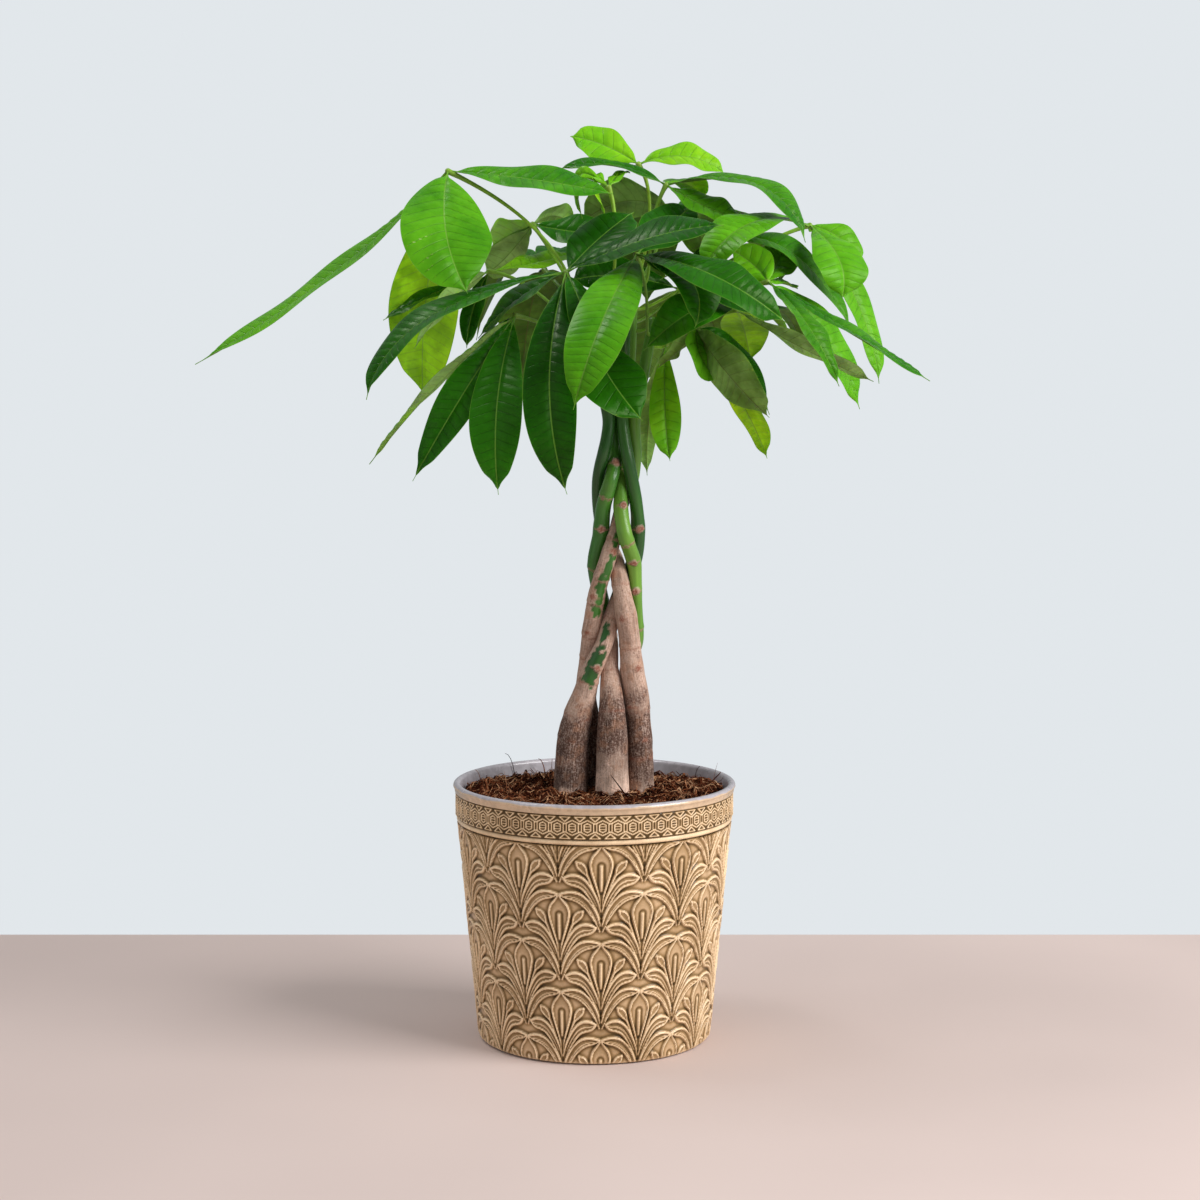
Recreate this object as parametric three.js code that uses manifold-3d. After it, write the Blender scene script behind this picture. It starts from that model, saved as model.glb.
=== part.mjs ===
// Potted money tree: five braided stems, nineteen long-stalked hand-shaped leaves, soil and a
// glazed pot with a palmette relief. Millimetres, +Z up; the pot's axis is the Z axis, its flat
// underside lies on Z = 0 and the best-looking side faces -Y.
import * as THREE from 'three';
import { mergeVertices } from 'three/addons/utils/BufferGeometryUtils.js';
import Module from 'manifold-3d';

const wasm = await Module();
wasm.setup();

// Pot: a tapered round pot with a rolled rim, a patterned band, a ledge and a relief field
const POT_HEIGHT = 165;
const BASE_RADIUS = 73.7;
const FIELD_TOP_RADIUS = 86.6;
const RIM_RADIUS = 90;
const WALL = 5;
const FLOOR = 8;
const FOOT_ROUND = 2.5;
const FIELD_TOP = 139.8;
const LEDGE_TOP = 143.4;
const LEDGE_RADIUS = 87.9;
const BAND_TOP = 158.6;
const BAND_RADIUS = 88.4;
const GROOVE = 0.7;
const UPPER_PROFILE = [
  [LEDGE_RADIUS, FIELD_TOP + 0.8], [LEDGE_RADIUS, LEDGE_TOP - 0.6], [LEDGE_RADIUS - GROOVE, LEDGE_TOP],
  [BAND_RADIUS - 0.5, LEDGE_TOP + 0.7], [BAND_RADIUS + 0.5, BAND_TOP - 0.6],
  [BAND_RADIUS + 0.1, BAND_TOP], [RIM_RADIUS - 0.6, BAND_TOP + 1], [RIM_RADIUS, POT_HEIGHT - 2.2],
  [RIM_RADIUS - 1.6, POT_HEIGHT], [RIM_RADIUS - 3.4, POT_HEIGHT], [RIM_RADIUS - WALL, POT_HEIGHT - 1.8],
];

// Relief: ten palmettes around, in rows that are set half a column aside from each other
const POT_COLUMNS = 60;
const STEPS_PER_MOTIF = 6;
const FIRST_MOTIF_ANGLE = 3.2;
const ROW_PITCH = 31;
const ROWS_PER_PITCH = 4;
const RELIEF_DEPTH = 1;

// Soil: coarse fibre, mounded a little, with a plain hole for the foot of each stem. Its top is made
// of level rings, each a share of the edge's radius, raised and lowered by waves.
const SOIL_TOP = 154.5;
const SOIL_MOUND = 2.5;
const SOIL_LUMP = 1.6;
const SOIL_WAVES = [0.21, 0.19, 0.47, 0.31];
const SOIL_RINGS = [1, 0.85, 0.65, 0.42, 0.2];
const SOIL_SIDES = 40;
const GAP = 0.3;
const SOIL_CLEAR = 0.5;
const HOLE_SPARE = 0.03;

// Stems: [x, y, z, radius] along each centre line, from its foot in the soil to its growing tip
const STEM_SIDES = 8;
const STEM_STEPS = 2;
const STEM_TIP_SHARE = 0.5;
const STEMS = {
  stem_1: [
    [-16.5, -3, 112, 11], [-15.2, -4, 152, 11], [-12.8, -4, 194, 10], [-5.9, -5, 220, 7.8],
    [-0.8, -6.5, 237, 6.1], [6.8, -7, 254, 5.5], [12.2, 0, 272, 5.2], [18, 4, 289, 5],
    [25, 5, 305, 4.8], [27, 2, 322, 4.4], [25.6, -3, 340, 4.1], [22.8, -6, 357, 4.1],
    [19.9, -7, 374, 4.1], [17.6, -5, 394, 3.9], [18, -9, 420, 3.8], [19, -15, 450, 3.4],
  ],
  stem_2: [
    [11.5, -12, 112, 10.8], [11.3, -12, 152, 10.8], [11.2, -11, 194, 9.6], [10.6, -8, 220, 7.4],
    [9.6, 0, 237, 5.6], [10.8, 4.5, 254, 4.7], [7.4, 9.5, 272, 4.7], [3.6, 5, 289, 4.9],
    [2, 1, 305, 5], [5.5, 0, 322, 5], [7.5, -3, 340, 4.8], [11.4, -7.5, 357, 4.4],
    [13.8, 2.2, 374, 4.1], [11, 4, 394, 4], [9, 9, 420, 3.8], [8, 14, 462, 3.3],
  ],
  stem_3: [
    [31, 1, 112, 9], [29.5, 0, 152, 9], [27.8, -1, 194, 8], [25.6, -2, 220, 7.8],
    [22.6, -3, 237, 7.3], [20.7, -4, 254, 6.7], [18.5, -11.5, 272, 6.6], [15.8, -9, 289, 5.6],
    [13.1, 0.5, 305, 5.2], [6.5, 10.5, 322, 4.6], [3.7, 8, 340, 4.3], [4, 1, 357, 4.1],
    [7, -6.5, 374, 3.9], [9.3, -5, 394, 3.9], [4, -8, 420, 3.8], [-3, -9, 455, 3.3],
  ],
  stem_4: [
    [-0.5, 18, 112, 9], [-0.2, 17, 152, 9], [-2.7, 14, 194, 8], [-4.6, 10, 220, 6.5],
    [-3.1, 6.5, 237, 5.6], [-0.6, 2.5, 254, 5.6], [1.6, -4, 272, 5.4], [4.6, -7, 289, 5.2],
    [9, -10, 305, 5.1], [13.6, -6, 322, 4.3], [17.5, 1.5, 340, 4.1], [23.8, 4.8, 357, 4],
    [25.7, 2, 374, 3.9], [25.1, -1, 394, 3.8], [30, -2, 420, 3.7], [37, -3, 456, 3.3],
  ],
  stem_5: [
    [20, 21, 112, 9], [20, 20, 152, 9], [20, 15, 194, 7.5], [20, 11.5, 220, 6],
    [21, 10, 237, 5], [26, 7.5, 254, 4.4], [25.6, 3, 272, 3.9], [24.2, -3, 289, 3.9],
    [23.2, -5, 305, 4.4], [17.9, -14.5, 322, 4.8], [15.2, -9, 340, 4.3], [15.9, 0, 357, 3.9],
    [16.8, 9.5, 374, 3.9], [19.3, 6, 394, 3.8], [22, 10, 425, 3.7], [25, 12, 484, 3.1],
  ],
};
const BRAID_SPANS = 13;
const BRAID_ROOM = 1.07;
const BRAID_ROUNDS = 120;

// Leaves: each has a long stalk from the side of a stem, at a height on it, through a bend to its
// hub, where its leaflets meet. A leaflet is [middle, tip, width, roll, fold]: it arches from the
// hub through its middle to its tip, roll turns the blade about its rib, and fold lifts its edges.
const LEAVES = {
  leaf_a: {
    stem: 'stem_3', height: 446, bend: [10, -8, 501], hub: [-91, 0, 549],
    leaflets: [
      [[-165, -6, 484], [-244, -10, 432], 28, -21, 12],
      [[-90, -46, 511], [-77, -62, 474], 57, -2, 6],
      [[-39, -14, 543], [9, -24, 534], 35, 28, 12],
      [[-108, 42, 476], [-110, 30, 412], 54, -6, 8],
    ],
  },
  leaf_b: {
    stem: 'stem_2', height: 452, bend: [-19, 40, 491], hub: [-40, 55, 519],
    leaflets: [
      [[-53, 64, 514], [-66, 68, 506], 30, 34, 14],
      [[-27, 76, 526], [-15, 84, 520], 22, -40, 12],
      [[-13, 48, 514], [14, 40, 512], 31, 42, 14],
      [[-59, 74, 498], [-71, 78, 489], 28, 34, 14],
    ],
  },
  leaf_c: {
    stem: 'stem_1', height: 444, bend: [-7, -36, 466], hub: [-17, -46, 485],
    leaflets: [
      [[-98, -70, 458], [-135, -78, 412], 33, -17, 12],
      [[-26, -104, 420], [-17, -98, 357], 33, 0, 14],
      [[2, -32, 505], [23, -14, 522], 42, 14, 10],
      [[31, -66, 504], [75, -70, 512], 40, 30, 12],
      [[-6, -74, 460], [2, -78, 431], 26, 0, 14],
      [[-45, -36, 470], [-70, -28, 447], 34, -30, 14],
    ],
  },
  leaf_d: {
    stem: 'stem_4', height: 448, bend: [36, -22, 474], hub: [26, -34, 496],
    leaflets: [
      [[5, -112, 455], [-11, -126, 407], 37, -10, 8],
      [[67, -96, 483], [111, -92, 456], 36, 24, 12],
      [[57, -78, 480], [60, -94, 453], 36, 0, 14],
      [[43, -12, 512], [61, 12, 528], 34, 30, 14],
      [[69, -52, 475], [109, -50, 458], 30, 24, 14],
    ],
  },
  leaf_e: {
    stem: 'stem_4', height: 454, bend: [70, 0, 472], hub: [107, -20, 480],
    leaflets: [
      [[154, -46, 450], [203, -38, 421], 24, 12, 14],
      [[127, -64, 455], [146, -70, 419], 23, -8, 14],
      [[143, -2, 448], [167, 10, 404], 36, 58, 12],
      [[118, 2, 480], [128, 14, 477], 14, 20, 14],
      [[100, -8, 490], [86, -6, 500], 28, -50, 10],
      [[115, 10, 493], [120, 16, 502], 26, 30, 10],
    ],
  },
  leaf_f: {
    stem: 'stem_5', height: 464, bend: [99, 22, 507], hub: [137, 30, 517],
    leaflets: [
      [[156, 28, 509], [168, 26, 493], 25, 40, 14],
      [[152, -8, 495], [154, -14, 471], 37, 0, 8],
      [[168, 36, 470], [182, 30, 420], 26, 40, 10],
      [[95, -34, 515], [66, -50, 486], 36, -14, 12],
      [[150, 58, 514], [160, 80, 506], 24, 0, 14],
    ],
  },
  leaf_g: {
    stem: 'stem_5', height: 479, bend: [30, 12, 515], hub: [45, 8, 541],
    leaflets: [
      [[100, -14, 540], [129, -24, 507], 32, 13, 12],
      [[69, -6, 527], [92, -10, 518], 26, 30, 14],
      [[12, 5, 553], [-21, 6, 551], 20, -20, 14],
      [[57, 42, 545], [71, 66, 537], 26, 0, 14],
    ],
  },
  leaf_h: {
    stem: 'stem_5', height: 481, bend: [44, 30, 534], hub: [28, 24, 555],
    leaflets: [
      [[7, 30, 567], [-14, 32, 573], 28, -52, 10],
      [[57, 24, 560], [82, 30, 550], 27, 38, 14],
    ],
  },
  leaf_i: {
    stem: 'stem_1', height: 447, bend: [20, -8, 511], hub: [9, -12, 538],
    leaflets: [
      [[-9, -6, 546], [-8, -3, 522], 12, -50, 14],
      [[1, -8, 543], [7, -11, 521], 15, -20, 14],
      [[15, 0, 546], [21, 10, 549], 12, 0, 14],
    ],
  },
  leaf_j: {
    stem: 'stem_2', height: 458, bend: [37, 40, 494], hub: [50, 48, 526],
    leaflets: [
      [[22, 62, 535], [-7, 66, 522], 42, 38, 10],
      [[65, 104, 528], [75, 140, 498], 40, 0, 14],
      [[38, 112, 517], [36, 140, 472], 44, 0, 14],
      [[84, 88, 529], [117, 116, 497], 38, 10, 14],
    ],
  },
  leaf_k: {
    stem: 'stem_3', height: 440, bend: [-24, -26, 455], hub: [-48, -38, 459],
    leaflets: [
      [[-91, -48, 422], [-135, -44, 372], 22, 14, 14],
      [[-75, -76, 417], [-106, -86, 364], 27, -30, 14],
      [[-57, -90, 409], [-57, -92, 356], 33, 0, 12],
      [[-73, -24, 438], [-100, -16, 401], 28, -14, 14],
    ],
  },
  leaf_l: {
    stem: 'stem_1', height: 436, bend: [3, -22, 438], hub: [-1, -30, 446],
    leaflets: [
      [[8, -50, 424], [28, -60, 397], 45, 24, 10],
      [[-12, -38, 432], [-23, -38, 409], 28, -10, 14],
    ],
  },
  leaf_m: {
    stem: 'stem_4', height: 440, bend: [40, 6, 438], hub: [45, 7, 442],
    leaflets: [
      [[44, -14, 403], [47, -18, 371], 21, 6, 14],
      [[36, 42, 400], [34, 40, 360], 15, 0, 14],
    ],
  },
  leaf_n: {
    stem: 'stem_4', height: 444, bend: [48, -12, 444], hub: [63, -24, 452],
    leaflets: [
      [[79, -52, 427], [105, -48, 399], 38, -64, 10],
      [[87, -24, 436], [108, -16, 401], 24, 40, 14],
      [[93, 14, 407], [110, 24, 371], 24, 0, 12],
      [[54, -36, 441], [40, -34, 428], 22, 40, 14],
      [[65, -38, 436], [75, -34, 421], 30, 0, 14],
    ],
  },
  leaf_o: {
    stem: 'stem_4', height: 450, bend: [60, -6, 456], hub: [88, -20, 463],
    leaflets: [
      [[63, -58, 463], [32, -62, 440], 33, -30, 14],
      [[128, -30, 440], [170, -26, 420], 26, -22, 14],
      [[95, 24, 453], [101, 48, 432], 32, 0, 14],
      [[119, 34, 464], [134, 60, 442], 32, 20, 14],
    ],
  },
  leaf_p: {
    stem: 'stem_5', height: 450, bend: [60, 8, 490], hub: [88, 7, 508],
    leaflets: [
      [[127, 9, 497], [162, 18, 453], 36, 30, 12],
      [[112, 48, 507], [122, 72, 484], 32, 0, 14],
      [[76, 60, 502], [45, 62, 485], 32, -40, 14],
    ],
  },
  leaf_q: {
    stem: 'stem_3', height: 450, bend: [-35, 24, 484], hub: [-67, 28, 488],
    leaflets: [
      [[-90, 10, 470], [-112, 4, 441], 26, 40, 14],
      [[-35, 54, 495], [-16, 76, 501], 24, 20, 14],
      [[-77, 32, 466], [-81, 20, 441], 15, -40, 10],
      [[-102, 26, 474], [-132, 16, 458], 20, -20, 14],
    ],
  },
  leaf_r: {
    stem: 'stem_2', height: 455, bend: [-16, 60, 471], hub: [-33, 84, 491],
    leaflets: [
      [[-60, 112, 493], [-79, 118, 449], 40, -20, 14],
      [[-44, 136, 465], [-51, 140, 411], 42, 0, 14],
      [[-20, 136, 472], [-3, 146, 418], 42, 0, 14],
      [[-26, 110, 504], [-19, 130, 504], 30, 0, 14],
    ],
  },
  leaf_s: {
    stem: 'stem_5', height: 456, bend: [42, 50, 464], hub: [56, 78, 478],
    leaflets: [
      [[44, 130, 459], [31, 138, 414], 40, 0, 14],
      [[77, 132, 465], [89, 140, 421], 42, 0, 14],
      [[96, 110, 478], [132, 118, 445], 40, 15, 14],
      [[17, 64, 486], [-14, 54, 483], 36, -45, 14],
    ],
  },
};
const STALK_SIDES = 5;
const STALK_STEPS = 6;
const STALK_RADIUS = 1.0;
const STALK_SWELL = 0.6;
const STALK_STUB = 1.5;
const STALK_START = 9;
const STALK_SEAT = 0.4;
const HUB_RADIUS = 2.3;
const BLADE_THICKNESS = 0.8;
const BLADE_ROOT_THICKNESS = 1.6;
const BLADE_STATIONS = [0, 0.11, 0.34, 0.6, 0.84, 1];
const BLADE_LEAST_HALF = 0.6;
const BLADE_NECK = 0.05;
const BLADE_SKEW = 1.22;
const BLADE_FULLNESS = 0.62;
const BLADE_DRAW = 0.12;

// Materials
const GLAZE = new THREE.MeshStandardMaterial({ color: 0x8f7650, roughness: 0.22, metalness: 0 });
const FIBRE = new THREE.MeshStandardMaterial({ color: 0x4a2c1c, roughness: 0.95, metalness: 0 });
const BARK = new THREE.MeshStandardMaterial({ color: 0x7d6450, roughness: 0.8, metalness: 0 });
const LEAF = new THREE.MeshStandardMaterial({ color: 0x2a7a22, roughness: 0.4, metalness: 0 });

const TAU = 2 * Math.PI;

function radians(degrees) {
  return degrees * Math.PI / 180;
}

// A closed solid through rings of points: quads between the rings, a fan over each end. turned[j]
// splits the quads of column j along the other diagonal.
function loft(rings, turned = []) {
  const count = rings[0].length;
  const positions = rings.flat().flatMap((point) => [point.x, point.y, point.z]);
  const index = [];
  for (let i = 0; i + 1 < rings.length; i += 1) {
    for (let j = 0; j < count; j += 1) {
      const a = i * count + j;
      const b = i * count + (j + 1) % count;
      const [c, d] = [b + count, a + count];
      index.push(...(turned[j] ? [a, b, d, b, c, d] : [a, b, c, a, c, d]));
    }
  }
  for (const end of [0, rings.length - 1]) {
    const centre = new THREE.Vector3();
    rings[end].forEach((point) => centre.addScaledVector(point, 1 / count));
    const middle = positions.length / 3;
    positions.push(centre.x, centre.y, centre.z);
    for (let j = 0; j < count; j += 1) {
      const [a, b] = [end * count + j, end * count + (j + 1) % count];
      index.push(...(end > 0 ? [a, b, middle] : [b, a, middle]));
    }
  }
  const geometry = new THREE.BufferGeometry();
  geometry.setAttribute('position', new THREE.Float32BufferAttribute(positions, 3));
  geometry.setIndex(index);
  return geometry;
}

// Manifold-3d joins and cuts: a closed three.js geometry becomes a solid, and back
function solid(geometry) {
  const bare = geometry.clone();
  bare.deleteAttribute('normal');
  bare.deleteAttribute('uv');
  const merged = mergeVertices(bare, 1e-5);
  return new wasm.Manifold(new wasm.Mesh({
    numProp: 3,
    vertProperties: new Float32Array(merged.attributes.position.array),
    triVerts: new Uint32Array(merged.index.array),
  }));
}

function surface(body) {
  const mesh = body.getMesh();
  const geometry = new THREE.BufferGeometry();
  geometry.setAttribute('position', new THREE.Float32BufferAttribute(mesh.vertProperties, 3));
  geometry.setIndex(new THREE.Uint32BufferAttribute(mesh.triVerts, 1));
  return geometry;
}

function named(name, geometry, material) {
  const mesh = new THREE.Mesh(geometry, material);
  mesh.name = name;
  return mesh;
}

// A level ring about the Z axis, counter-clockwise from above; radiusAt gives each column's radius
function levelRing(columns, z, radiusAt, firstAngle = 0) {
  return Array.from({ length: columns }, (_, j) => {
    const angle = firstAngle + TAU * j / columns;
    const radius = radiusAt(j);
    return new THREE.Vector3(radius * Math.cos(angle), radius * Math.sin(angle), z);
  });
}

// Height of the relief at a bud's column (aside 0) or beside it, so many steps below the bud's tip,
// as a share of the relief's depth: a raised bud over leaf strokes that spread to both sides
const BUD_RELIEF = {
  0: [0.1, 1, 1.5, 1.3, 0.6, 0.2, -0.3, -0.3],
  1: [-0.8, -0.8, -0.7, -0.2, 0.9, 0.7, 0.1, -0.6],
  2: [-0.4, 0.6, 0.7, 0.9, 0.2, -0.5, -0.6, -0.6],
  3: [0.5, -0.6, -0.6, 0.4, -0.6, -0.6, -0.6, -0.6],
};

function relief(column, row) {
  const across = column % STEPS_PER_MOTIF;
  const aside = Math.min(across, STEPS_PER_MOTIF - across);
  const below = row % (2 * ROWS_PER_PITCH);
  const half = STEPS_PER_MOTIF / 2;
  const own = BUD_RELIEF[aside][below];
  const neighbour = BUD_RELIEF[half - aside][(below + ROWS_PER_PITCH) % (2 * ROWS_PER_PITCH)];
  return RELIEF_DEPTH * Math.max(own, neighbour);
}

function potOuter(z) {
  return BASE_RADIUS + (FIELD_TOP_RADIUS - BASE_RADIUS) * z / FIELD_TOP;
}

function potInner(z) {
  return potOuter(z) - WALL;
}

function makePot() {
  const first = radians(FIRST_MOTIF_ANGLE - 90);
  const plain = (radius, z) => levelRing(POT_COLUMNS, z, () => radius, first);
  const rings = [plain(BASE_RADIUS - FOOT_ROUND, 0), plain(potOuter(0) - RELIEF_DEPTH / 2, FOOT_ROUND)];
  const step = ROW_PITCH / ROWS_PER_PITCH;
  const rows = Math.floor((FIELD_TOP - 2 * FOOT_ROUND) / step);
  for (let row = rows; row >= 0; row -= 1) {
    const z = FIELD_TOP - row * step;
    rings.push(levelRing(POT_COLUMNS, z, (column) => potOuter(z) + relief(column, row), first));
  }
  rings.push(...UPPER_PROFILE.map(([radius, z]) => plain(radius, z)));
  rings.push(plain(potInner(FIELD_TOP), FIELD_TOP));
  rings.push(plain(potInner(FLOOR), FLOOR));
  return named('pot', loft(rings), GLAZE);
}

// A smooth line through points of any length, the uniform Catmull-Rom spline, so many steps a span
function smooth(points, steps) {
  const before = points[0].map((value, i) => 2 * value - points[1][i]);
  const after = points.at(-1).map((value, i) => 2 * value - points.at(-2)[i]);
  const all = [before, ...points, after];
  const line = [];
  for (let span = 1; span + 2 < all.length; span += 1) {
    for (let step = 0; step < steps; step += 1) {
      const t = step / steps;
      line.push(all[span].map((b, i) => {
        const [a, c, d] = [all[span - 1][i], all[span + 1][i], all[span + 2][i]];
        return 0.5 * (2 * b + (c - a) * t + (2 * a - 5 * b + 4 * c - d) * t ** 2
          + (3 * b - a - 3 * c + d) * t ** 3);
      }));
    }
  }
  line.push(points.at(-1));
  return line;
}

// The braid settled: level by level, stems that would press into each other are pushed apart
function settledStems() {
  const names = Object.keys(STEMS);
  const lines = names.map((name) => smooth(STEMS[name], STEM_STEPS));
  const levels = BRAID_SPANS * STEM_STEPS + 1;
  const offsets = lines.map((line) => line.map(() => [0, 0]));
  for (let round = 0; round < BRAID_ROUNDS; round += 1) {
    const moves = offsets.map((line) => line.map((offset) => [...offset]));
    for (let k = 0; k < levels; k += 1) {
      for (let a = 0; a < lines.length; a += 1) {
        for (let b = a + 1; b < lines.length; b += 1) {
          const dx = lines[b][k][0] + offsets[b][k][0] - lines[a][k][0] - offsets[a][k][0];
          const dy = lines[b][k][1] + offsets[b][k][1] - lines[a][k][1] - offsets[a][k][1];
          const apart = Math.hypot(dx, dy);
          const need = (lines[a][k][3] + lines[b][k][3]) * BRAID_ROOM + GAP;
          const push = Math.max(need - apart, 0) / 2 / apart;
          moves[a][k][0] -= dx * push;
          moves[a][k][1] -= dy * push;
          moves[b][k][0] += dx * push;
          moves[b][k][1] += dy * push;
        }
      }
    }
    for (let s = 0; s < lines.length; s += 1) {
      for (let k = 0; k < levels; k += 1) {
        const isEnd = k === 0 || k === levels - 1;
        offsets[s][k] = moves[s][k].map((value, i) => (isEnd ? value
          : value / 2 + (moves[s][k - 1][i] + moves[s][k + 1][i]) / 4));
      }
    }
  }
  return Object.fromEntries(names.map((name, s) => [name, lines[s].map(([x, y, z, radius], k) => {
    const tail = lines[s].length - levels;
    const fade = k < levels ? 1 : 1 - (k - levels + 1) / tail;
    const [dx, dy] = offsets[s][Math.min(k, levels - 1)];
    return [x + fade * dx, y + fade * dy, z, radius];
  })]));
}

// Unit vectors across a path at each of its points, carried along it without twist
function carriedFrames(points) {
  const tangents = points.map((_, i) => {
    const next = points[Math.min(i + 1, points.length - 1)];
    return next.clone().sub(points[Math.max(i - 1, 0)]).normalize();
  });
  const start = Math.abs(tangents[0].x) < 0.9 ? new THREE.Vector3(1, 0, 0) : new THREE.Vector3(0, 1, 0);
  let across = start;
  return tangents.map((along) => {
    across = across.clone().addScaledVector(along, -across.dot(along)).normalize();
    return [across, along.clone().cross(across)];
  });
}

// A round bar along points with a radius at each, as a closed solid
function bar(points, radii, sides) {
  const frames = carriedFrames(points);
  return loft(points.map((point, i) => Array.from({ length: sides }, (_, j) => {
    const angle = TAU * j / sides;
    return point.clone()
      .addScaledVector(frames[i][0], radii[i] * Math.cos(angle))
      .addScaledVector(frames[i][1], radii[i] * Math.sin(angle));
  })));
}

function stemBar(line, extra = 0) {
  const points = line.map(([x, y, z]) => new THREE.Vector3(x, y, z));
  const radii = line.map((row) => row[3] + extra);
  if (extra === 0) {
    const tip = points.at(-1).clone().sub(points.at(-2)).normalize();
    points.push(points.at(-1).clone().addScaledVector(tip, radii.at(-1)));
    radii.push(radii.at(-1) * STEM_TIP_SHARE);
  }
  return bar(points, radii, STEM_SIDES);
}

// Soil: a filled cone frustum with a lumpy top, less a plain hole round the foot of each stem
function makeSoil(stems) {
  const [along, deep, fineAlong, fineDeep] = SOIL_WAVES;
  const lump = (x, y) => SOIL_LUMP * (Math.sin(along * x + 1.3) * Math.sin(deep * y + 0.4)
    + 0.5 * Math.sin(fineAlong * x - fineDeep * y));
  const foot = potInner(FLOOR) - SOIL_CLEAR;
  const edge = potInner(SOIL_TOP) - SOIL_CLEAR;
  const rings = [levelRing(SOIL_SIDES, FLOOR + GAP, () => foot)];
  for (const share of SOIL_RINGS) {
    rings.push(levelRing(SOIL_SIDES, 0, () => edge * share).map((point) => point.setZ(
      SOIL_TOP + (1 - share) * SOIL_MOUND + (share < 1 ? lump(point.x, point.y) : 0))));
  }
  let soil = solid(loft(rings));
  for (const line of Object.values(stems)) {
    const below = line[0].map((value, i) => value + (value - line[1][i]) * HOLE_SPARE);
    const hole = [below, ...line.slice(0, 2 * STEM_STEPS + 1)];
    soil = soil.subtract(solid(stemBar(hole, GAP / Math.cos(Math.PI / STEM_SIDES))));
  }
  return named('soil', surface(soil), FIBRE);
}

// Share of a leaflet's half width at a share t of its length: slim at the hub, drawn out to the tip
function bladeHalf(t) {
  const u = Math.min(Math.max((t - BLADE_NECK) / (1 - BLADE_NECK), 0), 1);
  return Math.sin(Math.PI * u ** BLADE_SKEW) ** BLADE_FULLNESS * (1 - BLADE_DRAW * u ** 4);
}

// One leaflet as a thin closed blade, folded along its rib. Its rib is the parabola from the hub
// through the middle to the tip, and the blade lies level across the rib until roll turns it.
function leaflet(hub, [middle, tip, width, roll, fold]) {
  const start = new THREE.Vector3(...hub);
  const end = new THREE.Vector3(...tip);
  const pull = new THREE.Vector3(...middle).multiplyScalar(2).addScaledVector(start, -0.5)
    .addScaledVector(end, -0.5);
  const rib = new THREE.QuadraticBezierCurve3(start, pull, end);
  const level = end.clone().sub(start).setZ(0).normalize().cross(new THREE.Vector3(0, 0, 1));
  const rings = BLADE_STATIONS.map((t) => {
    const along = rib.getTangent(t);
    const flat = level.clone().addScaledVector(along, -level.dot(along)).normalize();
    const across = flat.clone().applyAxisAngle(along, radians(roll));
    const up = across.clone().cross(along);
    const half = Math.max(width / 2 * bladeHalf(t), BLADE_LEAST_HALF);
    const thick = t === 0 ? BLADE_ROOT_THICKNESS : BLADE_THICKNESS;
    const place = (side, face) => rib.getPoint(t)
      .addScaledVector(across, side * half * Math.cos(radians(fold)))
      .addScaledVector(up, Math.abs(side) * half * Math.sin(radians(fold)) + face * thick / 2);
    return [place(1, 1), place(1, -1), place(0, -1), place(-1, -1), place(-1, 1), place(0, 1)];
  });
  return loft(rings, [false, false, false, false, true, true]);
}

// Centre and radius of a settled stem at a height
function stemAt(line, height) {
  const k = line.findIndex((row) => row[2] >= height);
  const share = (height - line[k - 1][2]) / (line[k][2] - line[k - 1][2]);
  return line[k - 1].map((value, i) => value + share * (line[k][i] - value));
}

// One leaf: its stalk leaves the side of its stem towards the hub, and its leaflets fan from there
function makeLeaf(name, stems) {
  const { stem, height, bend, hub, leaflets } = LEAVES[name];
  const [x, y, z, radius] = stemAt(stems[stem], height);
  const out = new THREE.Vector3(hub[0] - x, hub[1] - y, 0).normalize();
  const root = new THREE.Vector3(x, y, z).addScaledVector(out, radius + STALK_SEAT);
  const stub = root.clone().addScaledVector(out, STALK_STUB);
  const path = new THREE.CubicBezierCurve3(stub, stub.clone().addScaledVector(out, STALK_START),
    new THREE.Vector3(...bend), new THREE.Vector3(...hub));
  const points = [root, ...path.getPoints(STALK_STEPS)];
  const radii = points.map((_, i) => STALK_RADIUS + STALK_SWELL * (2 * i / (STALK_STEPS + 1) - 1) ** 4);
  const stalk = bar(points, radii, STALK_SIDES);
  const knob = new THREE.IcosahedronGeometry(HUB_RADIUS).translate(...hub);
  const body = leaflets.map((blade) => solid(leaflet(hub, blade)))
    .reduce((whole, blade) => whole.add(blade), solid(stalk).add(solid(knob)));
  return named(name, surface(body), LEAF);
}

const stems = settledStems();
const pottedTree = new THREE.Group();
pottedTree.add(makePot(), makeSoil(stems));
pottedTree.add(...Object.entries(stems).map(([name, line]) => named(name, stemBar(line), BARK)));
pottedTree.add(...Object.keys(LEAVES).map((name) => makeLeaf(name, stems)));

export default pottedTree;
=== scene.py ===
"""Looks of a potted money tree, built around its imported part.

Shapes are worked out in millimetres, at the places that the part gives its solids, and their meshes
are in metres. Azimuth 0 is the side that faces the camera, -Y, and azimuth 90 is +X. The pot comes
first, then the soil in it, the braided stems that stand in the soil, and the leaves on the stems.
"""

import logging
import math
from dataclasses import dataclass, field
from enum import Enum

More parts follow.
